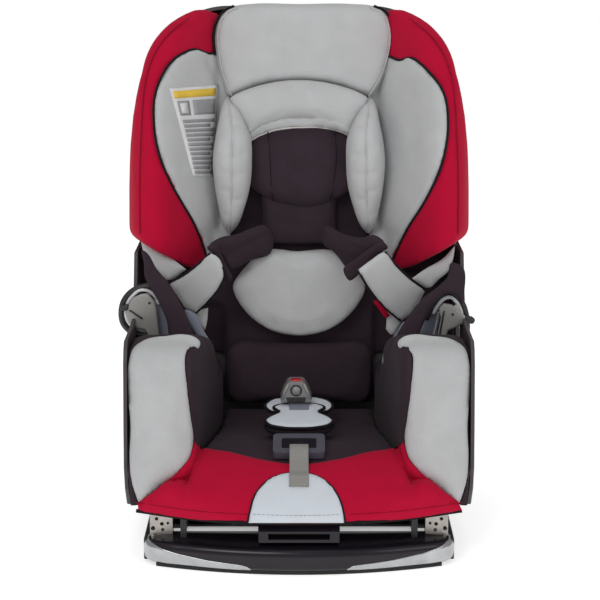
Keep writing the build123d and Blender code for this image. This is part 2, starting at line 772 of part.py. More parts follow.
def headrest_shell():
    """Moulded tray of the head module with its rim, rear ribs and post blocks."""
    outline = module_outline()
    inner = offset(outline, amount=-WALL)
    floor = back_slab(outline - panel_notch(), -FOAM - WALL, -FOAM)
    rim = back_slab(outline - inner, -FOAM - WALL, 15)
    rim -= back_slab(panel_notch(), -FOAM - WALL - 1, 20)
    rim -= back_slab(Pos(0, rise(HEIGHT)) * Rectangle(310, 60), 0.5, 20)
    rim -= back_slab(Pos(0, rise(WING_FOOT)) * Rectangle(2 * (HALF_WIDTH - WALL), 24), -FOAM, 20)
    shell = floor + rim
    for x in (-POST_X, POST_X):
        block = Pos(x, rise(580)) * Rectangle(30, 44)
        shell += back_slab(block, POST_DEPTH - 9, -FOAM - WALL)
        shell -= post(x, POST_RADIUS + FIT, POST_LOW - 20, POST_HIGH)
    for height in (540.0, 620.0):
        half = 190 if height < 600 else 150
        shell += level_rib(half, height, -FOAM - WALL, 6)
    return shell


def headrest_posts():
    """Two steel posts that slide in the bucket's sleeves."""
    return Compound([post(x, POST_RADIUS, POST_LOW, POST_HIGH - 2) for x in (-POST_X, POST_X)])


def wing_section():
    """Section of a wing across the slope: (x, distance in front of the back)."""
    return polygon(
        (114, 2), (186, 112), (194, 121), (205, 124), (218, 117), (229, 100), (236, 75), (240, 45),
        (240, 17), (228, 17), (228, -24), (114, -24),
    )


def headrest_wing(sign):
    """Padded side wing: a slanted inner face that curls round a soft rim."""
    across = Plane(origin=on_back(0, 330, 0), x_dir=(1, 0, 0), z_dir=UP)
    face = mirror(wing_section(), about=Plane.XZ)
    body = extrude(across * face, amount=rise(720) - rise(330))
    skirt = polygon(
        (100, rise(322)), (161, rise(338)), (HALF_WIDTH, rise(WING_FOOT)),
        (HALF_WIDTH, rise(460)), (100, rise(460)),
    )
    front = back_slab(module_outline() + skirt, 16.5, 130)
    inset = back_slab(offset(module_outline(), amount=-WALL - GAP), -FOAM + GAP, 17)
    body = body & (front + inset)
    side = Plane(origin=on_back(0, BACK_Z, 0), x_dir=UP, z_dir=(1, 0, 0))
    rim = closed(
        Polyline((rise(330), -30), (rise(330), 112), (rise(360), 118)),
        ThreePointArc((rise(360), 118), (rise(455), 126), (rise(540), 124)),
        ThreePointArc((rise(540), 124), (rise(655), 86), (rise(710), 22)),
        Polyline((rise(710), 22), (rise(710), -30), (rise(330), -30)),
    )
    body = body & extrude(side * rim, amount=300)
    return sided(body, sign)


def head_pad():
    """Central head pad: thick above the insert, a thin tongue behind it."""
    top = rise(HEIGHT - 6.8)
    crown = polygon(
        (-100, rise(572)), (100, rise(572)), (112, rise(600)), (119, rise(634)), (117, rise(662)),
        (107, rise(685)), (90, rise(700)), (68, top), (-68, top), (-90, rise(700)),
        (-107, rise(685)), (-117, rise(662)), (-119, rise(634)), (-112, rise(600)),
    )
    crown -= insert_outline(2.0)
    thick = back_slab(crown, 1.5, 34)
    tongue = polygon((-112, rise(507)), (112, rise(507)), (112, rise(700)), (-112, rise(700)))
    pad = thick + back_slab(tongue, -FOAM + GAP, 1.5)
    for sign in (-1, 1):
        side = polygon((113, rise(500)), (130, rise(500)), (130, rise(720)), (113, rise(720)))
        pad -= sided(back_slab(side, -30, 12), sign)
    return pad


def release_rod(radius, half):
    """A round bar along X on the release lever's hinge."""
    pivot = on_back(0, RELEASE_HEIGHT, RELEASE_DEPTH)
    return rod_x(radius, -half, half, pivot.Y, pivot.Z)


def headrest_release():
    """Pull lever on the back that frees the posts."""
    face = rounded(polygon((-34, rise(632)), (34, rise(632)), (30, rise(682)), (-30, rise(682))), 5.0)
    lever = back_slab(face, -42.0, -37.0)
    return lever - release_rod(1.5 + FIT, 60)


def release_pin():
    """Hinge pin of the release lever with the two ears that hold it."""
    pin = release_rod(1.5, 39)
    for s in (-1, 1):
        ear = back_slab(Pos(38, rise(RELEASE_HEIGHT)) * Rectangle(6, 9), -42.5, -FOAM - WALL)
        pin += sided(ear, s)
    return pin


# ---------------------------------------------------------------- write every node
def nodes():
    """Every node by name."""
    made = {
        "base_bumper": base_bumper(),
        "base_rear_bar": base_rear_bar(),
        "base_tray": base_tray(),
        "base_feet": base_feet(),
        "bracket_screws": bracket_screws(),
        "pivot_axle": pivot_axle(),
        "latch_bar": latch_bar(),
        "recline_handle": recline_handle(),
        "seat_shell": seat_shell(),
        "post_sockets": post_sockets(),
        "harness_splitter": harness_splitter(),
        "harness_rear_straps": harness_rear_straps(),
        "seat_cushion": seat_cushion(),
        "back_cushion": back_cushion(),
        "lumbar_pad": lumbar_pad(),
        "insert_arch_pillow": insert_arch_pillow(),
        "insert_body": insert_body(),
        "belly_pad": belly_pad(),
        "label_flap": label_flap(),
        "lockoff_pins": lockoff_pins(),
        "adjuster_bezel": adjuster_bezel(),
        "adjuster_lever": adjuster_lever(),
        "adjuster_strap": adjuster_strap(),
        "crotch_pad": crotch_pad(),
        "crotch_strap": crotch_strap(),
        "buckle_housing": buckle_housing(),
        "buckle_button": buckle_button(),
        "headrest_shell": headrest_shell(),
        "headrest_posts": headrest_posts(),
        "head_pad": head_pad(),
        "headrest_release": headrest_release(),
        "release_pin": release_pin(),
    }
    paired = {
        "base_trim": base_trim,
        "base_rail": base_rail,
        "index_plate": index_plate,
        "pivot_bracket": pivot_bracket,
        "recline_runner": recline_runner,
        "side_bolster": side_bolster,
        "insert_side_pillow": insert_side_pillow,
        "harness_sleeve": harness_sleeve,
        "shoulder_pad": shoulder_pad,
        "hip_strap": hip_strap,
        "belt_band": belt_band,
        "lockoff_housing": lockoff_housing,
        "lockoff_lever": lockoff_lever,
        "headrest_wing": headrest_wing,
    }
    for name, make in paired.items():
        for side, sign in SIDES:
            made[f"{name}_{side}"] = make(sign)
    return made


if __name__ == "__main__":
    os.makedirs("parts", exist_ok=True)
    for name, shape in nodes().items():
        export_step(shape, f"parts/{name}.step")
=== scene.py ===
"""Convertible child car seat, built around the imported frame.

Shapes are written in millimetres (X to the right, Y to the rear, Z up) and made in metres.
Panels and seams are drawn in front view and laid onto the padded bodies along rays from EYE.
"""
import math

import bpy
import numpy as np
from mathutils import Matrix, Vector
from mathutils.bvhtree import BVHTree
from mathutils.geometry import delaunay_2d_cdt


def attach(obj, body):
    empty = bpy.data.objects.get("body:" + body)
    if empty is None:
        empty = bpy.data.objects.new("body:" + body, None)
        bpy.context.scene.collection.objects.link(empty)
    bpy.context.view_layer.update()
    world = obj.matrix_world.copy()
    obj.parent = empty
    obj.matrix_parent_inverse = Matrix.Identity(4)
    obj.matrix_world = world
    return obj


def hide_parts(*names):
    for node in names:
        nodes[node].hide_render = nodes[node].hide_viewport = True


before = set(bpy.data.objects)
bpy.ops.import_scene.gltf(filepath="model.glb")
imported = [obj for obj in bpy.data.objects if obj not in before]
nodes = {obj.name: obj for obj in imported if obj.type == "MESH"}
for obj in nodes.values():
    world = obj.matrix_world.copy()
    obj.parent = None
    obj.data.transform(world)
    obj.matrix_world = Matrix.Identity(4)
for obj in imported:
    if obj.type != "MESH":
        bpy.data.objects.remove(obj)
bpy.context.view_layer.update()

MM = 0.001
EYE = Vector((0.0, -2.5, 0.85))
LOOK_DOWN = 12.06
LEAN = math.atan(0.2)
BACK_Y = 85
BACK_LOW = 150
UP = Vector((0, math.sin(LEAN), math.cos(LEAN)))
OUT = Vector((0, -math.cos(LEAN), math.sin(LEAN)))
SIDES = (("left", -1), ("right", 1))
ROOM_LIGHT = 0.42


# ---------------------------------------------------------------- camera, light and floor
def camera():
    """The camera in front of the seat, a little above it."""
    data = bpy.data.cameras.new("camera")
    data.sensor_width = 36.0
    data.lens = 110.9
    data.shift_x = 1 / 600
    data.clip_start = 0.05
    data.clip_end = 60.0
    cam = bpy.data.objects.new("camera", data)
    cam.location = EYE
    cam.rotation_euler = (math.radians(90 - LOOK_DOWN), 0, 0)
    bpy.context.scene.collection.objects.link(cam)
    bpy.context.scene.camera = cam


def area_light(name, place, aim, size, watts):
    """A square soft light at place that shines towards aim."""
    data = bpy.data.lights.new(name, "AREA")
    data.shape = "SQUARE"
    data.size = size
    data.energy = watts
    lamp = bpy.data.objects.new(name, data)
    lamp.location = place
    lamp.rotation_euler = (Vector(aim) - Vector(place)).to_track_quat("-Z", "Y").to_euler()
    bpy.context.scene.collection.objects.link(lamp)


def studio():
    """A white room: pale floor, bright surroundings, a large soft key above the camera."""
    world = bpy.data.worlds.new("studio")
    bpy.context.scene.world = world
    world.use_nodes = True
    tree = world.node_tree
    back = tree.nodes["Background"]
    back.inputs["Color"].default_value = (1.0, 1.0, 1.0, 1.0)
    seen = tree.nodes.new("ShaderNodeLightPath")
    level = tree.nodes.new("ShaderNodeMapRange")
    level.inputs["To Min"].default_value = ROOM_LIGHT
    tree.links.new(seen.outputs["Is Camera Ray"], level.inputs["Value"])
    tree.links.new(level.outputs["Result"], back.inputs["Strength"])
    area_light("key", (-0.9, -2.2, 2.2), (0, 0, 0.35), 1.3, 22)
    area_light("fill", (1.6, -1.8, 1.3), (0, 0, 0.3), 1.2, 7)
    area_light("top", (0, 0.2, 2.4), (0, 0, 0.3), 1.0, 7)
    view = bpy.context.scene.view_settings
    view.view_transform = "Standard"
    view.look = "None"

    mesh = bpy.data.meshes.new("floor")
    side = 12.0
    corners = [(-side, -side, 0), (side, -side, 0), (side, side, 0), (-side, side, 0)]
    mesh.from_pydata(corners, [], [(0, 1, 2, 3)])
    floor = bpy.data.objects.new("floor", mesh)
    floor.location.z = -0.0004
    bpy.context.scene.collection.objects.link(floor)
    floor_look = bpy.data.materials.new("floor_paper")
    floor_look.use_nodes = True
    shader = floor_look.node_tree.nodes["Principled BSDF"]
    shader.inputs["Base Color"].default_value = (0.85, 0.85, 0.85, 1)
    shader.inputs["Roughness"].default_value = 0.7
    shader.inputs["Emission Color"].default_value = (1.0, 1.0, 1.0, 1)
    shader.inputs["Emission Strength"].default_value = 0.64
    mesh.materials.append(floor_look)


# ---------------------------------------------------------------- materials
class Look:
    """A material's node tree with short ways to add nodes."""

    def __init__(self, name, colour, roughness, **sockets):
        self.material = bpy.data.materials.new(name)
        self.material.use_nodes = True
        self.tree = self.material.node_tree
        self.shader = self.tree.nodes["Principled BSDF"]
        self.colour = colour
        self.set_inputs(self.shader, base_color=(*colour, 1), roughness=roughness, **sockets)
        self.place = self.node("ShaderNodeTexCoord").outputs["Object"]

    def put(self, value, socket):
        """Links an output to a socket, or sets a plain value there."""
        if isinstance(value, bpy.types.NodeSocket):
            self.tree.links.new(value, socket)
        else:
            socket.default_value = value

    def set_inputs(self, node, **inputs):
        """Sets or links inputs by their names in small letters."""
        for name, value in inputs.items():
            self.put(value, node.inputs[name.replace("_", " ").title().replace("Ior", "IOR")])

    def node(self, kind, **inputs):
        made = self.tree.nodes.new(kind)
        self.set_inputs(made, **inputs)
        return made

    def noise(self, scale, detail=2.0, stretch=(1, 1, 1)):
        """Noise over the object's own space, stretched along an axis if asked."""
        source = self.place
        if stretch != (1, 1, 1):
            source = self.node("ShaderNodeMapping", vector=source, scale=stretch).outputs["Vector"]
        return self.node("ShaderNodeTexNoise", vector=source, scale=scale, detail=detail).outputs["Fac"]

    def wave(self, direction, period, source=None):
        """Stripes with a period in metres along X, Y or Z."""
        scale = 2 * math.pi / (20 * period)
        made = self.node("ShaderNodeTexWave", vector=source or self.place, scale=scale)
        made.bands_direction = direction
        return made.outputs["Fac"]

    def math(self, operation, a, b):
        made = self.node("ShaderNodeMath")
        made.operation = operation
        for socket, value in zip(made.inputs, (a, b)):
            self.put(value, socket)
        return made.outputs[0]

    def mix(self, a, share_a, b, share_b):
        """A weighted sum of two factors."""
        return self.math("ADD", self.math("MULTIPLY", a, share_a), self.math("MULTIPLY", b, share_b))

    def shade(self, factor, dark, light):
        """Colour between two multiples of the base colour by a factor."""
        ramp = self.node("ShaderNodeValToRGB", fac=factor)
        for stop, level in zip(ramp.color_ramp.elements, (dark, light)):
            stop.color = (*[min(1.0, c * level) for c in self.colour], 1)
        ramp.color_ramp.elements[0].position = 0.25
        ramp.color_ramp.elements[1].position = 0.75
        self.set_inputs(self.shader, base_color=ramp.outputs["Color"])

    def roughen(self, factor, low, high):
        made = self.node("ShaderNodeMapRange", value=factor, to_min=low, to_max=high)
        self.set_inputs(self.shader, roughness=made.outputs["Result"])

    def bump(self, height, strength, distance):
        made = self.node("ShaderNodeBump", height=height, strength=strength, distance=distance)
        self.set_inputs(self.shader, normal=made.outputs["Normal"])


def knit(name, colour, sheen=0.05, mottle=0.12, period=0.0016):
    """Knitted polyester: a fine even loop, a soft sheen and slightly uneven dye."""
    look = Look(name, colour, 0.85, sheen_weight=sheen, sheen_roughness=0.45, specular_ior_level=0.12)
    loops = look.math("ADD", look.wave("X", period), look.wave("Z", period * 1.3))
    loops = look.math("ADD", loops, look.wave("Y", period * 1.15))
    fuzz = look.noise(700, 3)
    height = look.mix(loops, 0.33, fuzz, 0.8)
    look.shade(look.mix(look.noise(38, 4), 0.55, fuzz, 0.45), 1 - mottle, 1 + mottle)
    look.bump(height, 0.35, 0.0005)
    return look.material


def webbing(name, colour):
    """Tightly woven webbing: ribs across the strap's width and fine ribs along it, from the strap's UVs."""
    look = Look(name, colour, 0.62, sheen_weight=0.15, sheen_roughness=0.4)
    uv = look.node("ShaderNodeTexCoord").outputs["UV"]
    ribs = look.wave("X", 0.0021, uv)
    cords = look.wave("Y", 0.0013, uv)
    height = look.math("ADD", ribs, look.math("MULTIPLY", cords, 0.6))
    # the colour follows the rib height, darker in the grooves between ribs: painted shade of the weave
    look.shade(look.math("MULTIPLY", height, 0.6), 0.86, 1.12)
    look.bump(height, 0.5, 0.0004)
    return look.material


def moulded(name, colour, roughness, grain=0.18, painted_light_strength=0.0):
    """Moulded plastic with a fine grain and a little wear in the gloss; where asked it also emits light in
    its own colour, which is painted light.
    """
    look = Look(name, colour, roughness, emission_color=(*colour, 1), emission_strength=painted_light_strength)
    look.shade(look.noise(30, 5), 0.9, 1.12)
    look.roughen(look.noise(55, 4), roughness - 0.07, roughness + 0.09)
    look.bump(look.noise(1400, 2), grain, 0.0004)
    return look.material


def gloss(name, colour, coat=1.0):
    """Polished plastic with a clear coat and faint handling marks."""
    look = Look(name, colour, 0.22, coat_weight=coat, coat_roughness=0.06, specular_ior_level=0.3)
    look.shade(look.noise(14, 3), 0.85, 1.15)
    look.roughen(look.noise(90, 5), 0.14, 0.3)
    look.bump(look.noise(160, 2), 0.05, 0.0005)
    return look.material


def metal(name, colour, roughness, stretch=(1, 14, 14)):
    """Metal with a faint drawn grain along X."""
    look = Look(name, colour, roughness, metallic=1.0)
    grain = look.noise(90, 4, stretch)
    look.shade(look.noise(45, 4), 0.82, 1.1)
    look.roughen(grain, roughness - 0.08, roughness + 0.1)
    look.bump(grain, 0.08, 0.0003)
    return look.material


# every look: the slot it is filed under, its kind of material, its colour and the kind's other values
LOOKS = {
    "red_knit": ("red_fabric", knit, (0.44, 0.0025, 0.03), 0.03, 0.07),
    # darker red: the wing's boxing seam, and painted shade in the pan's folds
    "red_seam": ("red_fabric", knit, (0.26, 0.002, 0.018), 0.03, 0.07),
    "light_knit": ("grey_fabric", knit, (0.6, 0.58, 0.56), 0.06, 0.08),
    "grey_knit": ("grey_fabric", knit, (0.47, 0.475, 0.48), 0.06, 0.08),
    "dark_knit": ("dark_fabric", knit, (0.034, 0.022, 0.03), 0.04, 0.16),
    "white_cloth": ("white_fabric", knit, (0.6, 0.64, 0.69), 0.04, 0.04, 0.0009),
    "piping_cord": ("dark_fabric", knit, (0.012, 0.009, 0.011), 0.03, 0.2, 0.0012),
    "grey_webbing": ("grey_webbing", webbing, (0.25, 0.24, 0.225)),
    "blue_webbing": ("blue_webbing", webbing, (0.19, 0.205, 0.26)),
    "shell_plastic": ("shell_plastic", moulded, (0.045, 0.036, 0.039), 0.48),
    "dark_plastic": ("dark_plastic", moulded, (0.018, 0.016, 0.018), 0.42),
    "grey_plastic": ("grey_plastic", moulded, (0.27, 0.265, 0.25), 0.36),
    # pale strips on the belt guides: painted highlights
    "pale_plastic": ("grey_plastic", moulded, (0.6, 0.61, 0.62), 0.3),
    "blue_plastic": ("grey_plastic", moulded, (0.2, 0.21, 0.27), 0.4),
    "bezel_plastic": ("bezel_plastic", moulded, (0.062, 0.06, 0.082), 0.35),
    "buckle_plastic": ("buckle_plastic", moulded, (0.2, 0.195, 0.2), 0.3),
    "gloss_black": ("gloss_black", gloss, (0.012, 0.009, 0.014), 0.05),
    "red_gloss": ("red_button", gloss, (0.55, 0.01, 0.02)),
    "rubber": ("rubber", moulded, (0.012, 0.012, 0.012), 0.75, 0.3),
    "zinc": ("zinc_steel", metal, (0.42, 0.39, 0.36), 0.36),
    "steel": ("polished_steel", metal, (0.3, 0.3, 0.31), 0.42),
    # the latch bar: pale plastic that emits light, a painted light that brightens it in the shade under the
    # seat; it shares the steel slot
    "bright_bar": ("polished_steel", moulded, (0.86, 0.86, 0.86), 0.35, 0.05, 0.4),
    "silver_paint": ("silver_trim", metal, (0.43, 0.44, 0.45), 0.2, (1, 1, 1)),
    "tag_paper": ("white_fabric", moulded, (0.66, 0.66, 0.67), 0.5, 0.05),
    "tag_grey": ("white_fabric", moulded, (0.3, 0.3, 0.31), 0.5, 0.05),
    "tag_yellow": ("white_fabric", moulded, (0.75, 0.5, 0.05), 0.5, 0.05),
}


def make_looks():
    """Every material by name."""
    return {name: kind(name, *values) for name, (_, kind, *values) in LOOKS.items()}


# ---------------------------------------------------------------- drawing
def on_back(x, height, depth):
    """The point at x and height, at a distance in front of the leaning back, in metres."""
    rise = (height - BACK_LOW) / math.cos(LEAN)
    return (Vector((x, BACK_Y, BACK_LOW)) + UP * rise + OUT * depth) * MM


def flow(points, step=4.0, closed=True, corners=()):
    """Evenly spaced points along a smooth curve through points; it stays sharp at the numbered corners."""
    points = [np.array(p, float) for p in points]
    count = len(points)
    spans = count if closed else count - 1
    ends = () if closed else (0, count - 1)
    chord = [points[(i + 1) % count] - points[i] for i in range(count)]
    length = [max(1e-6, np.linalg.norm(c)) for c in chord]

    def heading(i, leaving):
        if i in corners or i in ends:
            k = i if leaving else i - 1
            return chord[k % count] / length[k % count]
        before, after = (i - 1) % count, i
        mix = chord[after] / length[after] * length[before] + chord[before] / length[before] * length[after]
        return mix / (length[before] + length[after])

    line = []
    for i in range(spans):
        j = (i + 1) % count
        cuts = max(1, round(length[i] / step))
        start, end = heading(i, True) * length[i], heading(j, False) * length[i]
        for k in range(cuts):
            t = k / cuts
            line.append(
                (2 * t**3 - 3 * t**2 + 1) * points[i] + (t**3 - 2 * t**2 + t) * start
                + (3 * t**2 - 2 * t**3) * points[j] + (t**3 - t**2) * end
            )
    if not closed:
        line.append(points[-1])
    return line


def curve(points, step=4.0):
    """Evenly spaced points along an open smooth curve through points."""
    return flow(points, step, closed=False)


def mirrored(points, sign):
    """Points drawn on the right side, placed on the side that sign gives."""
    return [(sign * p[0], *p[1:]) for p in points]


def border_distance(points, loop):
    """Each point's distance to the nearest run of a closed loop."""
    points, a = np.array(points), np.array(loop)
    run = np.roll(a, -1, axis=0) - a
    size = np.maximum((run**2).sum(1), 1e-12)
    offset = points[:, None, :] - a[None, :, :]
    t = np.clip((offset * run).sum(2) / size, 0, 1)
    return np.sqrt(((offset - t[..., None] * run) ** 2).sum(2)).min(1)


def inside(points, loop):
    """Which points lie inside a closed loop."""
    points, a = np.array(points), np.array(loop)
    b = np.roll(a, -1, axis=0)
    x, y = points[:, :1], points[:, 1:2]
    spans = (a[:, 1] > y) != (b[:, 1] > y)
    height = np.where(b[:, 1] == a[:, 1], 1e-9, b[:, 1] - a[:, 1])
    cross = a[:, 0] + (y - a[:, 1]) / height * (b[:, 0] - a[:, 0])
    return (spans & (x < cross)).sum(1) % 2 == 1


def fill(loop, step):
    """Points and triangles that fill a closed loop, and each point's distance from the border."""
    loop = np.array(loop)
    low, high = loop.min(0), loop.max(0)
    rows = []
    for j, z in enumerate(np.arange(low[1], high[1], step * 0.87)):
        shift = step / 2 if j % 2 else 0
        rows += [(x, z) for x in np.arange(low[0] + shift, high[0], step)]
    rows = np.array(rows)
    rows = rows[inside(rows, loop)]
    if len(rows):
        rows = rows[border_distance(rows, loop) > step * 0.55]
    spots = [Vector(p) for p in loop] + [Vector(p) for p in rows]
    count = len(loop)
    edges = [(i, (i + 1) % count) for i in range(count)]
    found = delaunay_2d_cdt(spots, edges, [list(range(count))], 1, 1e-6)
    spots = [tuple(v) for v in found[0]]
    return spots, [tuple(f) for f in found[2]], border_distance(spots, loop)


def round_over(distance, width):
    """A quarter round: 0 at the border and 1 from width inwards."""
    return math.sqrt(1 - (1 - min(distance / width, 1.0)) ** 2)


def squared(value, power):
    """A sine or cosine raised to a power, with its sign kept, for rounded box outlines."""
    return math.copysign(abs(value) ** power, value)


def pooled(values, links):
    """Each point's sum over the points it is linked with."""
    total = np.zeros(np.shape(values))
    np.add.at(total, links[:, 0], values[links[:, 1]])
    np.add.at(total, links[:, 1], values[links[:, 0]])
    return total


def links_of(triangles):
    """The runs between neighbouring points, as pairs of numbers."""
    return np.array([(a, b) for face in triangles for a, b in zip(face, face[1:] + face[:1])])


def loft_faces(rings, sides, closed=False):
    """Quads from ring to ring of points, and the end faces of an open run."""
    faces = []
    for i in range(rings if closed else rings - 1):
        j = (i + 1) % rings
        for k in range(sides):
            m = (k + 1) % sides
            faces.append((i * sides + k, i * sides + m, j * sides + m, j * sides + k))
    if not closed:
        faces.append(tuple(reversed(range(sides))))
        faces.append(tuple((rings - 1) * sides + k for k in range(sides)))
    return faces


def settle(piece, body):
    """Rides a piece on its body."""
    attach(piece, body)
    return piece


def stand_for(piece, node):
    """A padded piece in the place of a CAD node."""
    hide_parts(node)


def add_mesh(name, points, faces, look, smooth=True):
    """A mesh object with one material."""
    mesh = bpy.data.meshes.new(name)
    mesh.from_pydata([tuple(p) for p in points], [], faces)
    mesh.materials.append(looks[look])
    mesh.polygons.foreach_set("use_smooth", [smooth] * len(mesh.polygons))
    mesh.update()
    piece = bpy.data.objects.new(name, mesh)
    bpy.context.scene.collection.objects.link(piece)
    return piece


def border_edges(triangles):
    """The directed edges that only one triangle uses."""
    used = {}
    for face in triangles:
        for a, b in zip(face, face[1:] + face[:1]):
            used[(a, b)] = True
    return [edge for edge in used if (edge[1], edge[0]) not in used]


def close_sheet(name, front, back, triangles, look):
    """A closed piece from matching front and back points."""
    count = len(front)
    faces = list(triangles) + [tuple(count + i for i in reversed(f)) for f in triangles]
    faces += [(b, a, count + a, count + b) for a, b in border_edges(triangles)]
    return add_mesh(name, front + back, faces, look)


# ---------------------------------------------------------------- surfaces to sew on
def surface_of(*pieces):
    """The joined surface of some pieces, for laying panels on."""
    points, faces = [], []
    for piece in pieces:
        start = len(points)
        points += [v.co.copy() for v in piece.data.vertices]
        faces += [tuple(start + i for i in p.vertices) for p in piece.data.polygons]
    return BVHTree.FromPolygons(points, faces)


def lay(spot, at_y, surface, lift):
    """Where the sight line through (x, at_y, z) meets a surface, lifted off it by lift mm, and the normal."""
    aim = Vector((spot[0], at_y, spot[1])) * MM
    way = (aim - EYE).normalized()
    place, normal, _, _ = surface.ray_cast(EYE, way)
    if place is None:
        place, normal, _, _ = surface.find_nearest(aim)
    if normal.dot(way) > 0:
        normal = -normal
    return place + normal * lift * MM, normal


# below this cosine a sight line only grazes a surface, and its depth isn't trusted
GRAZING = 0.12


def drape(spots, triangles, at_y, surface, deepest=400, smooth=3, rounds=60):
    """Points of a sheet on the sight lines through its spots: on the surface where they meet it before the
    plane y = deepest, and carried on smoothly from there where they miss it."""
    ways, depths, fixed = [], [], []
    for spot in spots:
        way = (Vector((spot[0], at_y, spot[1])) * MM - EYE).normalized()
        place, normal, _, far = surface.ray_cast(EYE, way)
        good = place is not None and place.y < deepest * MM and abs(normal.dot(way)) > GRAZING
        ways.append(way)
        depths.append(far if good else 0.0)
        fixed.append(good)
    depths, fixed = np.array(depths), np.array(fixed)
    links = links_of(triangles)
    known = fixed.copy()
    while not known.all():
        total, count = pooled(depths * known, links), pooled(known * 1.0, links)
        fresh = ~known & (count > 0)
        if not fresh.any():
            break
        depths[fresh] = total[fresh] / count[fresh]
        known |= fresh
    neighbours = pooled(np.ones(len(depths)), links)
    for turn in range(rounds):
        move = np.where(fixed, 0.35 if turn < smooth else 0.0, 1.0)
        depths += (pooled(depths, links) / neighbours - depths) * move
    return [EYE + way * far for way, far in zip(ways, depths)]


def sheet_normals(points, triangles):
    """A sheet's normals, turned to face the eye."""
    found = np.zeros((len(points), 3))
    for a, b, c in triangles:
        n = np.array((points[b] - points[a]).cross(points[c] - points[a]))
        if n.dot(np.array(EYE - points[a])) < 0:
            n = -n
        for i in (a, b, c):
            found[i] += n
    return [Vector(n).normalized() for n in found]


def crease_depth(spot, creases):
    """How far the creases pull a point in; a crease is a line with its depth and width."""
    total = 0.0
    for line, depth, width in creases:
        gap = min(to_run(spot, a, b) for a, b in zip(line, line[1:]))
        total += depth * math.exp(-((gap / width) ** 2))
    return total


def to_run(spot, a, b):
    """Distance from a point to a straight run."""
    a, run, offset = np.array(a), np.subtract(b, a), np.subtract(spot, a)
    t = min(1.0, max(0.0, offset.dot(run) / max(run.dot(run), 1e-9)))
    return np.linalg.norm(offset - t * run)


def reframe(points, y_from, y_to):
    """Points seen through the plane y_from, given where the same sight lines cross the plane y_to."""
    eye_y, eye_z = EYE.y / MM, EYE.z / MM
    t = (y_to - eye_y) / (y_from - eye_y)
    return [(x * t, eye_z + (z - eye_z) * t) for x, z in points]


def panel(
    name, loop, at_y, surface, look, body, lift=0.6, crown=2.5, width=16.0, step=5.0, sink=1.6, creases=(),
    deepest=400, smooth=3,
):
    """A sewn panel: the outline laid on a surface, a little fuller in the middle than at its seam."""
    spots, triangles, inner = fill(loop, step)
    laid = drape(spots, triangles, at_y, surface, deepest, smooth)
    normals = soften(sheet_normals(laid, triangles), triangles)
    front = []
    for spot, place, normal, d in zip(spots, laid, normals, inner):
        height = lift + crown * round_over(d, width)
        height -= min(crease_depth(spot, creases), height)
        front.append(place + normal * height * MM)
    back = [place - normal * sink * MM for place, normal in zip(laid, normals)]
    piece = close_sheet(name, front, back, triangles, look)
    return settle(piece, body)


def soften(normals, triangles, rounds=3):
    """Normals averaged over a panel's neighbours."""
    normals = np.array(normals)
    links = links_of(triangles)
    for _ in range(rounds):
        total = normals + pooled(normals, links)
        normals = total / np.linalg.norm(total, axis=1)[:, None]
    return [Vector(n) for n in normals]


def tube(name, path, radius, look, body, closed=False, sides=8):
    """A round cord along a path in metres; radius is in mm."""
    path = [Vector(p) for p in path]
    count = len(path)
    points = []
    guide = Vector((0, 0, 1))
    for i, p in enumerate(path):
        if closed:
            along = path[(i + 1) % count] - path[i - 1]
        else:
            along = path[min(i + 1, count - 1)] - path[max(i - 1, 0)]
        along.normalize()
        if i == 0 and abs(along.dot(guide)) > 0.9:
            guide = Vector((1, 0, 0))
        a = (guide - along * guide.dot(along)).normalized()
        b = along.cross(a)
        guide = a
        for k in range(sides):
            turn = 2 * math.pi * k / sides
            points.append(p + (a * math.cos(turn) + b * math.sin(turn)) * radius * MM)
    piece = add_mesh(name, points, loft_faces(count, sides, closed), look)
    return settle(piece, body)


def seam(name, line, at_y, surface, body, radius=1.3, look="piping_cord", lift=0.7):
    """Piping laid on a surface along a line drawn in front view."""
    links = [(i, i + 1, i) for i in range(len(line) - 1)]
    path = drape(line, links, at_y, surface)
    path = [p + (EYE - p).normalized() * lift * MM for p in path]
    for _ in range(2):
        middle = [(path[i - 1] + path[i] * 2 + path[(i + 1) % len(path)]) / 4 for i in range(len(path))]
        middle[0], middle[-1] = path[0], path[-1]
        path = middle
    return tube(name, path, radius, look, body)


# ---------------------------------------------------------------- padded bodies
swelling = []


def relax(mesh, rounds):
    """Rounds a mesh's corners by averaging each point with its neighbours."""
    count = len(mesh.vertices)
    points = np.zeros(count * 3)
    mesh.vertices.foreach_get("co", points)
    points = points.reshape(-1, 3)
    links = np.zeros(len(mesh.edges) * 2, int)
    mesh.edges.foreach_get("vertices", links)
    links = links.reshape(-1, 2)
    degree = np.bincount(links.ravel(), minlength=count)[:, None]
    for _ in range(rounds):
        points = points * 0.4 + pooled(points, links) / degree * 0.6
    mesh.vertices.foreach_set("co", points.ravel())
    mesh.update()


def pad(node, look, body, cap, rounds=8, voxel=5.0, pressure=3.0):
    """A padded piece in the place of a CAD node: remeshed, rounded, then swollen by cloth pressure."""
    piece = bpy.data.objects.new(f"{node}_cover", nodes[node].data.copy())
    bpy.context.scene.collection.objects.link(piece)
    remesh = piece.modifiers.new("remesh", "REMESH")
    remesh.mode = "VOXEL"
    remesh.voxel_size = voxel * MM
    view = bpy.context.evaluated_depsgraph_get()
    mesh = bpy.data.meshes.new_from_object(piece.evaluated_get(view))
    piece.modifiers.clear()
    piece.data = mesh
    mesh.name = piece.name
    mesh.materials.clear()
    mesh.materials.append(looks[look])
    relax(mesh, rounds)
    mesh.polygons.foreach_set("use_smooth", [True] * len(mesh.polygons))
    mesh.update()
    swelling.append((piece, pressure, cap))
    settle(piece, body)
    stand_for(piece, node)
    bodies[node] = piece


# the cloth solver's settings, shared by every pad
CLOTH = {
    "quality": 4,
    "mass": 0.3,
    "tension_stiffness": 12,
    "compression_stiffness": 12,
    "shear_stiffness": 6,
    "bending_stiffness": 0.6,
    "use_pressure": True,
}
CLOTH_FRAMES = 20


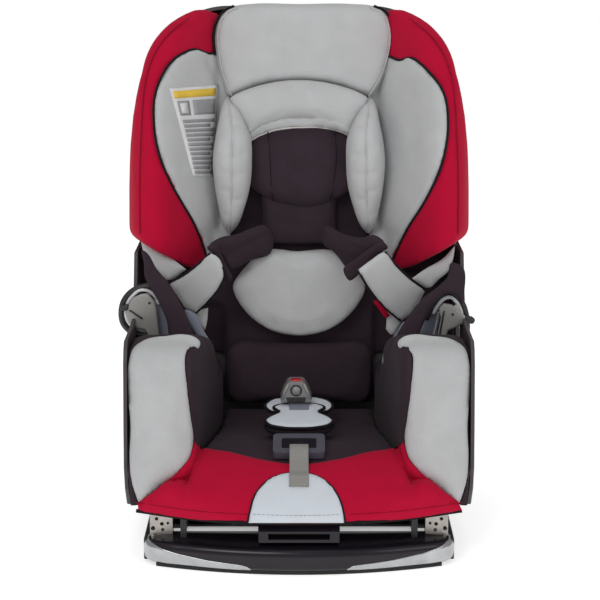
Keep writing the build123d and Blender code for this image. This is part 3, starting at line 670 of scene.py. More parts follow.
def swell():
    """Runs the cloth pressure of every pad together, keeps each point within its cap and applies it."""
    scene = bpy.context.scene
    for piece, pressure, _ in swelling:
        cloth = piece.modifiers.new("cloth", "CLOTH")
        for name, value in CLOTH.items():
            setattr(cloth.settings, name, value)
        cloth.settings.uniform_pressure_force = pressure
        cloth.settings.effector_weights.gravity = 0
        cloth.point_cache.frame_end = CLOTH_FRAMES
    for number in range(1, CLOTH_FRAMES + 1):
        scene.frame_set(number)
    view = bpy.context.evaluated_depsgraph_get()
    for piece, _, cap in swelling:
        count = len(piece.data.vertices)
        start, end = np.zeros(count * 3), np.zeros(count * 3)
        piece.data.vertices.foreach_get("co", start)
        piece.evaluated_get(view).data.vertices.foreach_get("co", end)
        move = (end - start).reshape(-1, 3)
        size = np.maximum(np.linalg.norm(move, axis=1), 1e-9)
        move *= np.minimum(1.0, cap * MM / size)[:, None]
        piece.modifiers.clear()
        piece.data.vertices.foreach_set("co", (start.reshape(-1, 3) + move).ravel())
        relax(piece.data, 1)
    scene.frame_set(1)


def prism(name, loop, at_y, depth, look, body, bevel, segments=2):
    """A plate drawn in front view, depth mm thick from at_y to the rear, with bevelled edges."""
    count = len(loop)
    points = [Vector((x, y, z)) * MM for y in (at_y, at_y + depth) for x, z in loop]
    faces = [tuple(range(count)), tuple(reversed(range(count, 2 * count)))]
    faces += [(i, count + i, count + (i + 1) % count, (i + 1) % count) for i in range(count)]
    piece = add_mesh(name, points, faces, look, smooth=False)
    bevel_edges(piece, bevel, segments)
    return settle(piece, body)


def bevel_edges(piece, bevel, segments):
    """Rounded edges on a hard piece."""
    made = piece.modifiers.new("bevel", "BEVEL")
    made.width = bevel * MM
    made.segments = segments
    made.limit_method = "ANGLE"
    made.angle_limit = math.radians(35)
    view = bpy.context.evaluated_depsgraph_get()
    piece.data = bpy.data.meshes.new_from_object(piece.evaluated_get(view))
    piece.modifiers.clear()


# the CAD nodes that are shown as they are, by look; left and right nodes share a name here
HARD_NODES = {
    "dark_plastic": ("base_rear_bar", "base_tray", "base_rail", "post_sockets", "recline_runner"),
    "rubber": ("base_feet",),
    "zinc": ("bracket_screws", "index_plate", "pivot_bracket", "harness_splitter", "lockoff_pins",
             "release_pin"),
    "steel": ("pivot_axle", "headrest_posts"),
    "shell_plastic": ("seat_shell", "headrest_shell"),
    "grey_webbing": ("harness_rear_straps",),
    "bezel_plastic": ("adjuster_bezel",),
    "gloss_black": ("adjuster_lever", "recline_handle"),
    # the latch bar emits light from its look: painted light, not a lamp
    "bright_bar": ("latch_bar",),
    "grey_plastic": ("headrest_release",),
}


def dress_hard_nodes():
    """Gives the moulded and metal CAD nodes their materials."""
    for look, stems in HARD_NODES.items():
        for name in [stem + end for stem in stems for end in ("", "_left", "_right")]:
            if name in nodes:
                for slot in nodes[name].material_slots:
                    slot.material = looks[look]


# ---------------------------------------------------------------- the seat
# outlines in front view, (x, z) in mm as seen through the plane y given with them; where left and right
# aren't apart, the right side is drawn
TEAR_Y = 50
TEAR = {
    "left": [(-100, 660), (-111, 654), (-124, 650), (-140, 657), (-158, 652), (-174, 641), (-187, 623),
             (-195, 606), (-200, 586), (-201, 562), (-199, 535), (-193, 508), (-174, 463), (-160, 438),
             (-148, 417), (-140, 398), (-130, 368), (-104, 384), (-98, 470), (-94, 560), (-94, 620)],
    "right": [(112, 652), (129, 645), (139, 641), (152, 646), (166, 638), (181, 623), (195, 606),
              (203, 586), (206, 562), (205, 530), (201, 508), (183, 460), (170, 436), (154, 411),
              (142, 387), (132, 364), (106, 384), (99, 470), (94, 560), (96, 620)],
}
TEAR_FOOT = {"left": 16, "right": 15}
WING_SEAM = [(150, 699), (176, 680), (196, 655), (210, 620), (216, 580), (219, 540), (222, 480), (223, 400)]
ARM_Y = -150
ARM_FRONT = [
    (214, 70), (222, 100), (224, 135), (222, 175), (224, 222), (223, 262), (216, 284), (200, 295),
    (172, 300), (150, 302), (137, 299), (129, 291), (131, 284), (141, 283), (148, 274), (149, 262),
    (147, 232), (143, 190), (140, 158), (146, 134), (160, 116), (186, 93),
]
ARM_TIP = 11
SKIRT_Y = -165
RED_LINE = [(138, 160), (128, 153), (91, 145), (51, 135), (0, 128.5)]
HEM_Y = -225
HEM = [(0, 69), (66, 70), (128, 74), (210, 86)]
LABEL_Y = -215
LABEL = [
    (-67, 66), (-64, 80), (-57, 104), (-37, 126), (0, 134), (22, 130), (40, 118), (52, 100), (58, 80),
    (60, 66),
]


def both_sides(half):
    """A line drawn from the right edge to the middle, carried on to the left edge."""
    return half + [(-x, z) for x, z in reversed(half[:-1])]


def wings():
    """Headrest wings: red boxing and border, a grey panel on the inner face, piping between them."""
    for side, sign in SIDES:
        surface = surface_of(bodies[f"headrest_wing_{side}"], nodes[f"headrest_wing_{side}"])
        foot = TEAR_FOOT[side]
        loop = flow(TEAR[side], 4, corners=(0, foot))
        fold = curve(mirrored([(104, 586), (116, 614), (127, 641)], sign), 5)
        bodies[f"wing_panel_{side}"] = panel(
            f"wing_panel_{side}", loop, TEAR_Y, surface, "grey_knit", "headrest",
            lift=1.4, crown=4.0, width=30,
            creases=[(fold, 3.0, 5.0)],
        )
        edge = curve(TEAR[side][:foot + 1])
        seam(f"wing_piping_{side}", edge, TEAR_Y, surface, "headrest", 1.8, lift=1.4)
        line = curve(mirrored(WING_SEAM, sign), 5)
        seam(f"wing_boxing_seam_{side}", line, TEAR_Y, surface, "headrest", 0.8, look="red_seam", lift=0.1)


TAG_Y = 60
TAG_TOP = 602
TAG_LOW = 480


def care_tag():
    """A plain cloth tag on the left wing: a yellow band over rows of grey bars, with no lettering."""
    wing = surface_of(bodies["wing_panel_left"])

    def strip(name, top, low, left, right, look, surface, lift):
        """A strip of the tag between two heights, from 0 at its left edge to 1 at its right."""
        def corner(across, height):
            drop = (TAG_TOP - height) / (TAG_TOP - TAG_LOW)
            start, end = -179 + 31 * drop, -112 - 8 * drop
            return (start + (end - start) * across, height + 5 * across * (1 - drop))
        loop = flow([corner(left, low), corner(right, low), corner(right, top), corner(left, top)],
                    4, corners=(0, 1, 2, 3))
        return panel(name, loop, TAG_Y, surface, look, "headrest", lift=lift, crown=0.1, width=3, step=6,
                     sink=0.1, smooth=0)

    tag = surface_of(strip("care_tag", TAG_TOP, TAG_LOW, 0.0, 1.0, "tag_paper", wing, 0.8))
    strip("care_tag_band", 598, 588, 0.05, 0.96, "tag_yellow", tag, 0.35)
    strip("care_tag_box", 584, 564, 0.44, 0.96, "tag_grey", tag, 0.35)
    strip("care_tag_patch", 584, 564, 0.09, 0.36, "tag_grey", tag, 0.35)
    strip("care_tag_patch_inner", 581, 567, 0.14, 0.31, "tag_paper", tag, 0.7)
    for row in range(12):
        top = 558 - row * 6.4
        right = 0.84 if row % 3 == 1 else 0.94
        strip(f"care_tag_bar_{row}", top, top - 4.4, 0.12, right, "tag_grey", tag, 0.35)


def arms():
    """Arms of the bucket: dark sides, a light panel over the front with piping round it."""
    for side, sign in SIDES:
        surface = surface_of(bodies[f"side_bolster_{side}"])
        loop = flow(mirrored(ARM_FRONT, sign), 4, corners=(0,))
        pull = curve(mirrored([(200, 134), (172, 142), (150, 160)], sign), 5)
        panel(
            f"arm_panel_{side}", loop, ARM_Y, surface, "grey_knit", "seat", crown=4.0, width=26,
            creases=[(pull, 0.9, 7.0)], deepest=-105,
        )
        outer = curve(mirrored(ARM_FRONT[:ARM_TIP + 1], sign))
        seam(f"arm_piping_{side}", outer, ARM_Y, surface, "seat", 1.3)
        inner = curve(mirrored(ARM_FRONT[ARM_TIP:], sign))
        seam(f"arm_inner_piping_{side}", inner, ARM_Y, surface, "seat", 0.9)


def pan():
    """Red front of the pan and its skirt, piping, hem and the blank patch with its stitching."""
    arms_too = [bodies[f"side_bolster_{side}"] for side, _ in SIDES]
    surface = surface_of(bodies["seat_cushion"], nodes["seat_cushion"], *arms_too)
    line = curve(both_sides(RED_LINE))
    arm_edge = reframe([(146, 134), (160, 116), (186, 93), (214, 72)], ARM_Y, SKIRT_Y)
    hem = reframe(HEM, HEM_Y, SKIRT_Y)
    right = curve([RED_LINE[0]] + arm_edge)
    low = curve(list(reversed(hem)) + [(-x, z) for x, z in hem[1:]])
    left = [np.array((-p[0], p[1])) for p in reversed(right)]
    loop = list(reversed(line))[:-1] + right[:-1] + low[:-1] + left[:-1]
    creases = []
    for sign in (-1, 1):
        fold = curve(mirrored([(131, 156), (136, 140), (146, 112), (154, 92)], sign), 5)
        creases.append((fold, 4.0, 6.5))
    red = panel(
        "pan_front", loop, SKIRT_Y, surface, "red_knit", "seat", lift=2.6, crown=4.0, width=16, step=4.0,
        creases=creases, smooth=1,
    )
    seam("pan_piping", line, SKIRT_Y, surface, "seat", 1.4)
    seam("pan_hem", low, SKIRT_Y, surface, "seat", 2.7, lift=1.6)
    front = surface_of(red)
    # darker red cords in the fold creases: painted shade in the folds
    for (side, _), (fold, _, _) in zip(SIDES, creases):
        seam(f"pan_fold_{side}", fold, SKIRT_Y, front, "seat", 0.9, look="red_seam", lift=0.0)
    # darker red lines just above the hem: painted shade where the cloth folds
    above = reframe([(x, z + 11) for x, z in HEM[1:]], HEM_Y, SKIRT_Y)
    for side, sign in SIDES:
        line = curve(mirrored(above, sign))
        seam(f"pan_hem_fold_{side}", line, SKIRT_Y, front, "seat", 0.6, look="red_seam", lift=0.0)
    patch = flow(LABEL, 4, corners=(0, len(LABEL) - 1))
    cloth = panel("front_patch", patch, LABEL_Y, front, "white_cloth", "seat", crown=1.0, width=8)
    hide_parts("label_flap")
    seam("front_patch_piping", curve(LABEL), LABEL_Y, front, "seat", 1.3)
    row = [(x, 76 + 0.0005 * x * x) for x in range(-60, 55, 3)]
    stitches("front_patch_stitch", row, LABEL_Y, surface_of(cloth), "tag_grey", "seat")


def stitches(name, line, at_y, surface, look, body, dash=3.2, gap=2.0, radius=0.32):
    """A row of stitches as short raised threads."""
    path = [lay(spot, at_y, surface, 0.15)[0] for spot in curve(line, 1.0)]
    points, faces = [], []
    run, start = 0.0, 0
    for i in range(1, len(path)):
        run += (path[i] - path[i - 1]).length / MM
        if run >= dash:
            a, b = path[start], path[i]
            along = (b - a).normalized()
            side = along.cross(Vector((0, -1, 0))).normalized()
            up = side.cross(along)
            base = len(points)
            for end in (a, b):
                points += [end + (side * math.cos(t) + up * math.sin(t)) * radius * MM
                           for t in (k * math.pi / 3 for k in range(6))]
            faces += [tuple(base + k for k in face) for face in loft_faces(2, 6)]
            run = -gap
        if run < 0:
            start = i
    piece = add_mesh(name, points, faces, look)
    return settle(piece, body)


# side pillow: height, inner and outer x, rear and front distance from the back
PILLOW = [
    (386, 97, 101, 20, 28), (396, 88, 108, 15, 42), (424, 77, 115, 11, 60), (456, 69, 120, 8, 76),
    (487, 67, 122, 8, 84), (515, 68, 119, 8, 82), (538, 76, 115, 8, 70), (560, 87, 111, 8, 50),
    (572, 95, 107, 10, 32), (578, 100, 103, 14, 22),
]
# its tucks: the height of each and the way it leans, and the turn at which its front lies, in degrees
TUCKS = [(414, -1), (428, 1), (446, -1), (463, 1), (471, -1), (489, 1), (506, -1), (532, 1), (552, -1)]
PILLOW_FRONT = 90


def side_pillow(side, sign):
    """Tall pillow beside the head: two leaves sewn along the front, full in the middle."""
    rings = curve(PILLOW, 2.5)
    sides = 64
    points = []
    rng = np.random.default_rng(7)
    tucks = [(h, rng.uniform(0.8, 1.5), lean) for h, lean in TUCKS]
    for height, x_in, x_out, rear, front in rings:
        middle, half = (x_in + x_out) / 2, (x_out - x_in) / 2
        deep, reach = (rear + front) / 2, (front - rear) / 2
        for k in range(sides):
            turn = 2 * math.pi * k / sides
            off = math.degrees(turn) - PILLOW_FRONT
            pinch = math.exp(-(off / 9) ** 2)
            tuck = sum(
                size * math.exp(-((height - h - 3 * lean) / 3.4) ** 2)
                * math.exp(-((off - 20 * lean) / 17) ** 2)
                for h, size, lean in tucks
            )
            swell_by = 1 - 0.09 * pinch - 0.055 * tuck
            x = middle + half * squared(math.cos(turn), 0.85) * swell_by
            w = deep + reach * squared(math.sin(turn), 0.9) * swell_by
            points.append(on_back(sign * x, height, w))
    faces = loft_faces(len(rings), sides)
    if sign > 0:
        faces = [tuple(reversed(f)) for f in faces]
    piece = add_mesh(f"side_pillow_{side}", points, faces, "grey_knit")
    swelling.append((piece, 2.5, 4.0))
    settle(piece, "seat")
    stand_for(piece, f"insert_side_pillow_{side}")
    path = [on_back(sign * (x_in + x_out) / 2, h, (rear + front) / 2 + (front - rear) / 2 * 0.93)
            for h, x_in, x_out, rear, front in rings]
    tube(f"side_pillow_seam_{side}", path, 0.9, "grey_knit", "seat")


def on_tilt(spot, at_y, tilt, about):
    """The point of a tilted plane on the sight line through (x, at_y, z), in mm."""
    aim = Vector((spot[0], at_y, spot[1]))
    way = aim - EYE / MM
    slope_x, slope_z = tilt
    gap = at_y + slope_x * (aim.x - about[0]) + slope_z * (aim.z - about[1]) - aim.y
    return aim + way * gap / (way.y - slope_x * way.x - slope_z * way.z)


def plate_pad(
    name, loop, at_y, thick, crown, look, body, step=5, tilt=(0, 0), about=(0, 0), round_by=8.0, creases=(),
):
    """A thin pad drawn in front view: crowned in front of the plane y = at_y, thick mm deep behind it."""
    spots, triangles, inner = fill(loop, step)
    front, back = [], []
    for spot, d in zip(spots, inner):
        place = on_tilt(spot, at_y, tilt, about)
        puff = crown * round_over(d, round_by) - crease_depth(spot, creases)
        front.append((place - Vector((0, puff, 0))) * MM)
        back.append((place + Vector((0, thick * (0.4 + 0.6 * round_over(d, round_by)), 0))) * MM)
    piece = close_sheet(name, front, back, triangles, look)
    return settle(piece, body)


def edge_cord(name, line, at_y, body, tilt, about, radius):
    """Piping along the edge of a flat pad, 1 mm behind its plane."""
    path = [(on_tilt(p, at_y, tilt, about) + Vector((0, 1, 0))) * MM for p in line]
    return tube(name, path, radius, "piping_cord", body)


# harness and cover pieces as they lie, left and right apart: (x, z) in mm as seen through the plane y
PAD_Y = 20
PAD_FRONT = {
    "left": [(-182, 335), (-158, 348), (-139, 363), (-123, 377), (-112, 371), (-106, 359), (-104, 346),
             (-109, 333), (-124, 313), (-144, 293), (-157, 299), (-168, 315)],
    "right": [(176, 326), (154, 342), (137, 358), (119, 379), (99, 367), (82, 354), (99, 326), (120, 301),
              (142, 282), (158, 294), (168, 309)],
}
PAD_TILT = {"left": (-0.45, -0.25), "right": (0.45, -0.25)}
SLEEVE_Y = 60
SLEEVE = {
    "left": [(-50, 410), (-36, 390), (-40, 371), (-68, 360), (-99, 350), (-106, 362), (-126, 382),
             (-112, 392), (-88, 397), (-66, 406)],
    "right": [(36, 408), (34, 384), (48, 373), (68, 348), (77, 338), (88, 352), (100, 366), (120, 386),
              (106, 396), (88, 392), (66, 396)],
}
FOLD_Y = 34
FOLD = {
    "left": [(-128, 384), (-118, 388), (-108, 372), (-100, 354), (-94, 337), (-99, 334), (-106, 352),
             (-113, 368)],
    "right": [(62, 352), (72, 336), (80, 342), (94, 358), (108, 374), (124, 384), (118, 391), (96, 380),
              (78, 366)],
}
BAND_Y = -20
BAND = {
    "left": [(-214, 390), (-212, 372), (-211, 353), (-204, 338), (-192, 316), (-182, 291), (-177, 266),
             (-146, 266), (-150, 285), (-162, 313), (-178, 343), (-195, 364), (-208, 386)],
    "right": [(135, 264), (164, 264), (168, 280), (177, 303), (187, 319), (200, 329), (214, 328),
              (224, 314), (227, 334), (222, 368), (208, 372), (203, 352), (192, 340), (172, 324),
              (150, 296)],
}
WEB_Y = -5
WEB = {
    "left": [(-158, 303), (-143, 297), (-132, 274), (-121, 252), (-119, 232), (-130, 236), (-138, 260),
             (-148, 276), (-155, 290)],
    "right": [(147, 286), (135, 272), (124, 254), (117, 240), (116, 226), (126, 232), (135, 250),
              (144, 268), (152, 282)],
}
LINING_Y = 44
WING_LINING = {
    "left": [(-222, 394), (-200, 381), (-172, 361), (-158, 350), (-182, 335), (-213, 362)],
    "right": [(218, 384), (202, 366), (176, 350), (157, 336), (184, 324), (196, 336), (208, 346),
              (216, 366)],
}
HIP_LINING = {
    "left": [(-150, 290), (-128, 295), (-130, 274), (-133, 262)],
    "right": [(124, 292), (146, 278), (130, 256), (123, 264)],
}


def strap(name, stations, thick, look, body, facing, bulge=0.5, sides=14):
    """A flat strap through stations of (centre, width) in mm, with its face turned to facing."""
    line = curve([(*centre, width) for centre, width in stations], 5)
    centres = [Vector(p[:3]) for p in line]
    count = len(line)
    length = 0.0
    points, uvs = [], []
    for i, (centre, p) in enumerate(zip(centres, line)):
        along = (centres[min(i + 1, count - 1)] - centres[max(i - 1, 0)]).normalized()
        across = along.cross(Vector(facing)).normalized()
        normal = along.cross(across)
        if i:
            length += (centre - centres[i - 1]).length * MM
        for k in range(sides):
            turn = 2 * math.pi * k / sides
            u = squared(math.cos(turn), bulge) * p[3] / 2
            w = squared(math.sin(turn), bulge) * thick / 2
            points.append((centre + across * u + normal * w) * MM)
            uvs.append((length, u * MM))
    piece = add_mesh(name, points, loft_faces(count, sides), look)
    layer = piece.data.uv_layers.new(name="strap")
    for loop in piece.data.loops:
        layer.data[loop.index].uv = uvs[loop.vertex_index]
    return settle(piece, body)


def harness():
    """Sleeves, shoulder pads with piped edges, cover bands and hip webbing on each side."""
    for side, sign in SIDES:
        tilt, about = PAD_TILT[side], (sign * 140, 330)
        corners = (0, 9) if sign < 0 else (0, 5, 8)
        loop = flow(PAD_FRONT[side], 4, corners=corners)
        sag = curve([(sign * 166, 318), (sign * 150, 334), (sign * 128, 350)], 5)
        piece = plate_pad(
            f"shoulder_pad_{side}_cover", loop, PAD_Y, 8, 5, "grey_knit", "seat", 4,
            tilt, about, 9, [(sag, 0.8, 6)],
        )
        stand_for(piece, f"shoulder_pad_{side}")
        last = 10 if sign < 0 else 9
        edges = (("upper", PAD_FRONT[side][:4], 2.3), ("lower", PAD_FRONT[side][5:last], 2.1))
        for edge, line, radius in edges:
            edge_cord(f"shoulder_piping_{side}_{edge}", curve(line), PAD_Y, "seat", tilt, about, radius)

        about = (sign * 80, 375)
        tucks = [
            (curve([(sign * 44, 398), (sign * 70, 386), (sign * 104, 366)], 5), 2.2, 4.0),
            (curve([(sign * 60, 368), (sign * 84, 366), (sign * 112, 380)], 5), 1.6, 3.5),
        ]
        sleeve = plate_pad(
            f"harness_sleeve_{side}_cover", flow(SLEEVE[side], 4), SLEEVE_Y, 8, 8, "dark_knit", "seat", 4,
            (0.55 * -sign, 0), about, 10, tucks,
        )
        stand_for(sleeve, f"harness_sleeve_{side}")
        fold = flow(FOLD[side], 4)
        plate_pad(f"sleeve_fold_{side}", fold, FOLD_Y, 6, 5, "dark_knit", "seat", 3, round_by=5)
        band = plate_pad(
            f"belt_band_{side}_cover", flow(BAND[side], 4), BAND_Y, 4, 3, "dark_knit", "seat", 4,
            (0, 0.35), (sign * 180, 320), 5,
        )
        stand_for(band, f"belt_band_{side}")
        web = plate_pad(
            f"hip_strap_{side}_web", flow(WEB[side], 4), WEB_Y, 1.8, 0.8, "blue_webbing", "seat", 4, (0, 0.2),
            (sign * 135, 270), 3,
        )
        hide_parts(f"hip_strap_{side}")


def linings():
    """Small pieces of the cover that show below the wings."""
    for side, _ in SIDES:
        plate_pad(f"wing_lining_{side}", flow(WING_LINING[side], 4, corners=(0, 3)), LINING_Y, 4, 3,
                  "grey_knit", "seat")
        plate_pad(f"hip_lining_{side}", flow(HIP_LINING[side], 4, corners=(0, 1, 3)), LINING_Y, 4, 2,
                  "grey_knit", "seat")
    loop = flow([(104, 306), (112, 308), (128, 285), (122, 281)], 4, corners=(0, 1, 2, 3))
    plate_pad("belt_tag", loop, 38, 1.5, 0.8, "red_knit", "seat", 4, round_by=2)


GUIDE = {
    "left": {
        "ring": [(-200, 336), (-215, 334), (-231, 327), (-242, 314), (-246, 297), (-244, 283),
                 (-234, 271), (-221, 266), (-205, 265)],
        "rim": [(-194, 310), (-199, 321), (-209, 329), (-219, 330), (-230, 322), (-238, 309), (-240, 297),
                (-236, 284), (-225, 275), (-212, 271)],
        "inner": [(-202, 312), (-192, 314), (-182, 287), (-175, 264), (-196, 264), (-199, 300)],
        "blade": [(-230, 320), (-218, 326), (-208, 327), (-200, 317), (-197, 307), (-193, 264),
                  (-208, 266), (-213, 276), (-225, 278), (-236, 288), (-240, 299)],
        "slot": [(-234, 304), (-216, 292)],
        "dot": (-206, 314),
        "grip": [(-236, 312), (-246, 309), (-247, 304), (-240, 302), (-234, 305)],
    },
    "right": {
        "ring": [(176, 288), (182, 304), (190, 317), (200, 326), (208, 327), (218, 321), (226, 310),
                 (231, 296), (233, 280), (233, 264)],
        "rim": [(186, 296), (193, 309), (201, 318), (209, 320), (217, 314), (223, 304), (226, 294)],
        "inner": [(181, 298), (197, 298), (190, 262), (166, 264)],
        "blade": [(193, 305), (199, 313), (211, 311), (219, 304), (231, 294), (229, 286), (218, 280),
                  (206, 275), (203, 263), (191, 263), (196, 292)],
        "slot": [(200, 303), (194, 266)],
        "dot": (212, 298),
        "grip": [(229, 296), (239, 294), (244, 290), (241, 284), (230, 285)],
    },
}


def turned(line):
    """Whether a closed line runs clockwise."""
    return sum(a[0] * b[1] - b[0] * a[1] for a, b in zip(line, line[1:] + line[:1])) < 0


def sharp_plate(name, line, y, depth, look, body, bevel):
    """A plate with a sharp corner at each point of its outline."""
    loop = flow(line, 4, corners=range(len(line)))
    if turned(line):
        loop.reverse()
    return prism(name, loop, y, depth, look, body, bevel)


def at_depth(line, y, step=3):
    """An open curve drawn in front view and placed at y, in metres."""
    return [Vector((x, y, z)) * MM for x, z in curve(line, step)]


def lockoffs():
    """Belt guides: a ring, a raised rim along its upper edge whose pale colour is a painted highlight, a
    blue-grey inner plate with a pale ridge that is a painted highlight streak, and the swinging lever with
    its grip.
    """
    for side, sign in SIDES:
        shape = GUIDE[side]
        swing = f"lockoff_{side}"
        ring = tube(f"lockoff_ring_{side}", at_depth(shape["ring"], 3), 4.6, "dark_plastic", "seat", sides=12)
        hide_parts(f"lockoff_housing_{side}")
        # the rim's pale colour along the ring's upper edge is a painted highlight
        tube(f"lockoff_rim_{side}", at_depth(shape["rim"], 0), 2.6, "pale_plastic", "seat", sides=10)
        sharp_plate(f"lockoff_inner_{side}", shape["inner"], 6, 4, "blue_plastic", "seat", 1.4)
        blade = sharp_plate(f"lockoff_lever_{side}_plate", shape["blade"], -11, 7, "grey_plastic", swing, 2.2)
        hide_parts(f"lockoff_lever_{side}")
        sharp_plate(f"lockoff_grip_{side}", shape["grip"], -12, 9, "dark_plastic", swing, 2.2)
        tube(f"lockoff_slot_{side}", at_depth(shape["slot"], -11.4, 4), 1.3, "dark_plastic", swing)
        x, z = shape["dot"]
        rivet = [Vector((x, y, z)) * MM for y in (-12, -11.5, -6)]
        tube(f"lockoff_rivet_{side}", rivet, 1.8, "dark_plastic", swing, sides=16)
        # a pale ridge on the inner plate: a painted highlight streak
        ridge = [((x + sign * -3), z) for x, z in shape["inner"][1:3]]
        tube(f"lockoff_ridge_{side}", at_depth(ridge, 5.5), 1.2, "pale_plastic", "seat")


BEAM_PLAN = [
    (203.5, -166), (203.5, -181), (198, -193), (184, -202), (150, -213), (100, -225.5), (50, -232.6),
    (0, -235),
]
BEAM_LOW = 5
# the beam's section from its foot over the front to its rear lip: (inset, rise)
BEAM_EDGE = [
    (12, 0), (4, 0.8), (0.8, 4), (0, 10), (0, 21), (1.6, 26), (5, 29), (12, 30.2), (20, 30.6), (25, 33),
    (34, 33),
]
BEAM_ROUND = 12
BEAM_DEEP = 34
BEAM_REAR = -157
# the part of the section that the caps lie on, their rows of points, and their tops as (x, rise)
CAP_EDGE = BEAM_EDGE[:8]
CAP_ROWS = 12
CAP_TOP = [(60, 0), (66, 6), (75, 8), (120, 11.5), (160, 17), (185, 23), (197, 28), (203.5, 31)]


def beam_way():
    """Plan points of the front beam from its left end to its right, each with its outward direction."""
    line = curve([(-x, y) for x, y in BEAM_PLAN] + [p for p in reversed(BEAM_PLAN[:-1])], 6)
    found = []
    for i, spot in enumerate(line):
        along = line[min(i + 1, len(line) - 1)] - line[max(i - 1, 0)]
        along = along / np.linalg.norm(along)
        found.append((spot, np.array((along[1], -along[0]))))
    return found


def beam_point(spot, out, inset, rise, grow=0.0):
    """A point of the beam's skin: inset from its front and rise above its foot.

    Up to BEAM_ROUND the inset is square to the front; from there to BEAM_DEEP it runs back to BEAM_REAR.
    """
    front = spot + out * (grow - min(inset, BEAM_ROUND))
    deeper = max(inset - BEAM_ROUND, 0) / (BEAM_DEEP - BEAM_ROUND) * max(BEAM_REAR - front[1], 3)
    return Vector((front[0], front[1] + deeper, BEAM_LOW + rise)) * MM


def beam():
    """Polished front beam with rounded ends and a raised rear lip, and the silver caps low on its ends."""
    way = beam_way()
    ring = [(BEAM_DEEP, 0)] + [tuple(p) for p in curve(BEAM_EDGE, 2.5)]
    points = [beam_point(spot, out, *edge) for spot, out in way for edge in ring]
    piece = add_mesh("base_bumper_skin", points, loft_faces(len(way), len(ring)), "gloss_black")
    settle(piece, "base")
    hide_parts("base_bumper")
    for side, sign in SIDES:
        beam_cap(side, [(spot, out) for spot, out in way if spot[0] * sign >= CAP_TOP[0][0]])


def beam_cap(side, part):
    """A thin silver cap over the foot of the beam, along a part of its way."""
    insets, rises = zip(*CAP_EDGE)
    widths, tops = zip(*CAP_TOP)
    front, back = [], []
    for spot, out in part:
        top = float(np.interp(abs(spot[0]), widths, tops)) + 0.8
        for row in range(CAP_ROWS):
            rise = top * row / (CAP_ROWS - 1)
            inset = float(np.interp(rise, rises, insets))
            front.append(beam_point(spot, out, inset, rise, 1.3))
            back.append(beam_point(spot, out, inset, rise, -1.2))
    faces = []
    for i in range(len(part) - 1):
        for row in range(CAP_ROWS - 1):
            a, b = i * CAP_ROWS + row, (i + 1) * CAP_ROWS + row
            faces += [(a, b, b + 1), (a, b + 1, a + 1)]
    cap = settle(close_sheet(f"base_cap_{side}", front, back, faces, "silver_paint"), "base")
    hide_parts(f"base_trim_{side}")


CROTCH_TILT = math.radians(9)


def on_strap(x, along, lift):
    """A point over the crotch strap's plane, in metres."""
    return Vector((
        x,
        -100 + along * math.cos(CROTCH_TILT) - lift * math.sin(CROTCH_TILT),
        146 + along * math.sin(CROTCH_TILT) + lift * math.cos(CROTCH_TILT),
    )) * MM


# crotch pad outlines, right half: (x, distance along the strap, height over the strap's plane)
SHIELD = [
    (0, 3, 14), (24, 5, 14.5), (40, 12, 15), (46, 24, 15.5), (40, 38, 15), (29, 50, 14.5), (27, 57, 14),
    (32, 68, 12.5), (35, 80, 10.5), (26, 92, 8.5), (0, 97, 8),
]
TONGUE = [(0, 66, 4.5), (24, 70, 4.5), (42, 82, 4.5), (47, 98, 4.5), (40, 115, 4.5), (22, 126, 4.5),
          (0, 129, 4.5)]


def strap_pad(name, half, thick, look, puff):
    """A flat pad over the crotch strap's plane, from the right half of its outline."""
    loop = flow(half + [(-x, s, h) for x, s, h in reversed(half[1:-1])], 4)
    spots, triangles, inner = fill([(p[0], p[1]) for p in loop], 4)
    line = sorted((s, h) for _, s, h in half)
    along, heights = [s for s, _ in line], [h for _, h in line]
    top, low = [], []
    for (x, s), d in zip(spots, inner):
        height = float(np.interp(s, along, heights))
        top.append(on_strap(x, s, height + puff * round_over(d, 10)))
        low.append(on_strap(x, s, height - thick))
    piece = close_sheet(name, top, low, triangles, look)
    settle(piece, "buckle")
    rim = [on_strap(p[0], p[1], float(np.interp(p[1], along, heights)) - 0.6) for p in loop]
    tube(f"{name}_piping", rim, 2.3, "piping_cord", "buckle", closed=True)
    return piece


def crotch():
    """White hourglass pad with dark piping and a dark underside, and its webbing."""
    stand_for(strap_pad("crotch_pad_cover", SHIELD, 3, "white_cloth", 2.5), "crotch_pad")
    strap_pad("crotch_pad_rear", TONGUE, 3, "white_cloth", 2)
    below = [(x, s - 2, h - 7) for x, s, h in SHIELD]
    strap_pad("crotch_pad_underside", below, 5, "dark_knit", 2)
    places = ((52, 15), (60, 15.5), (70, 14.5), (84, 13.5), (92, 13.5))
    stations = [(tuple(on_strap(0, s, lift) / MM), 28) for s, lift in places]
    web = strap("crotch_web", stations, 2.4, "blue_webbing", "buckle", (0, -0.16, 1), 0.35)
    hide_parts("crotch_strap")


BUCKLE_X = -4
BUCKLE_Z = 175
BUCKLE = [(-20, 0), (-22, 6), (-18, 17), (-12, 28), (-9, 30), (9, 30), (12, 28), (18, 17), (22, 6), (20, 0)]


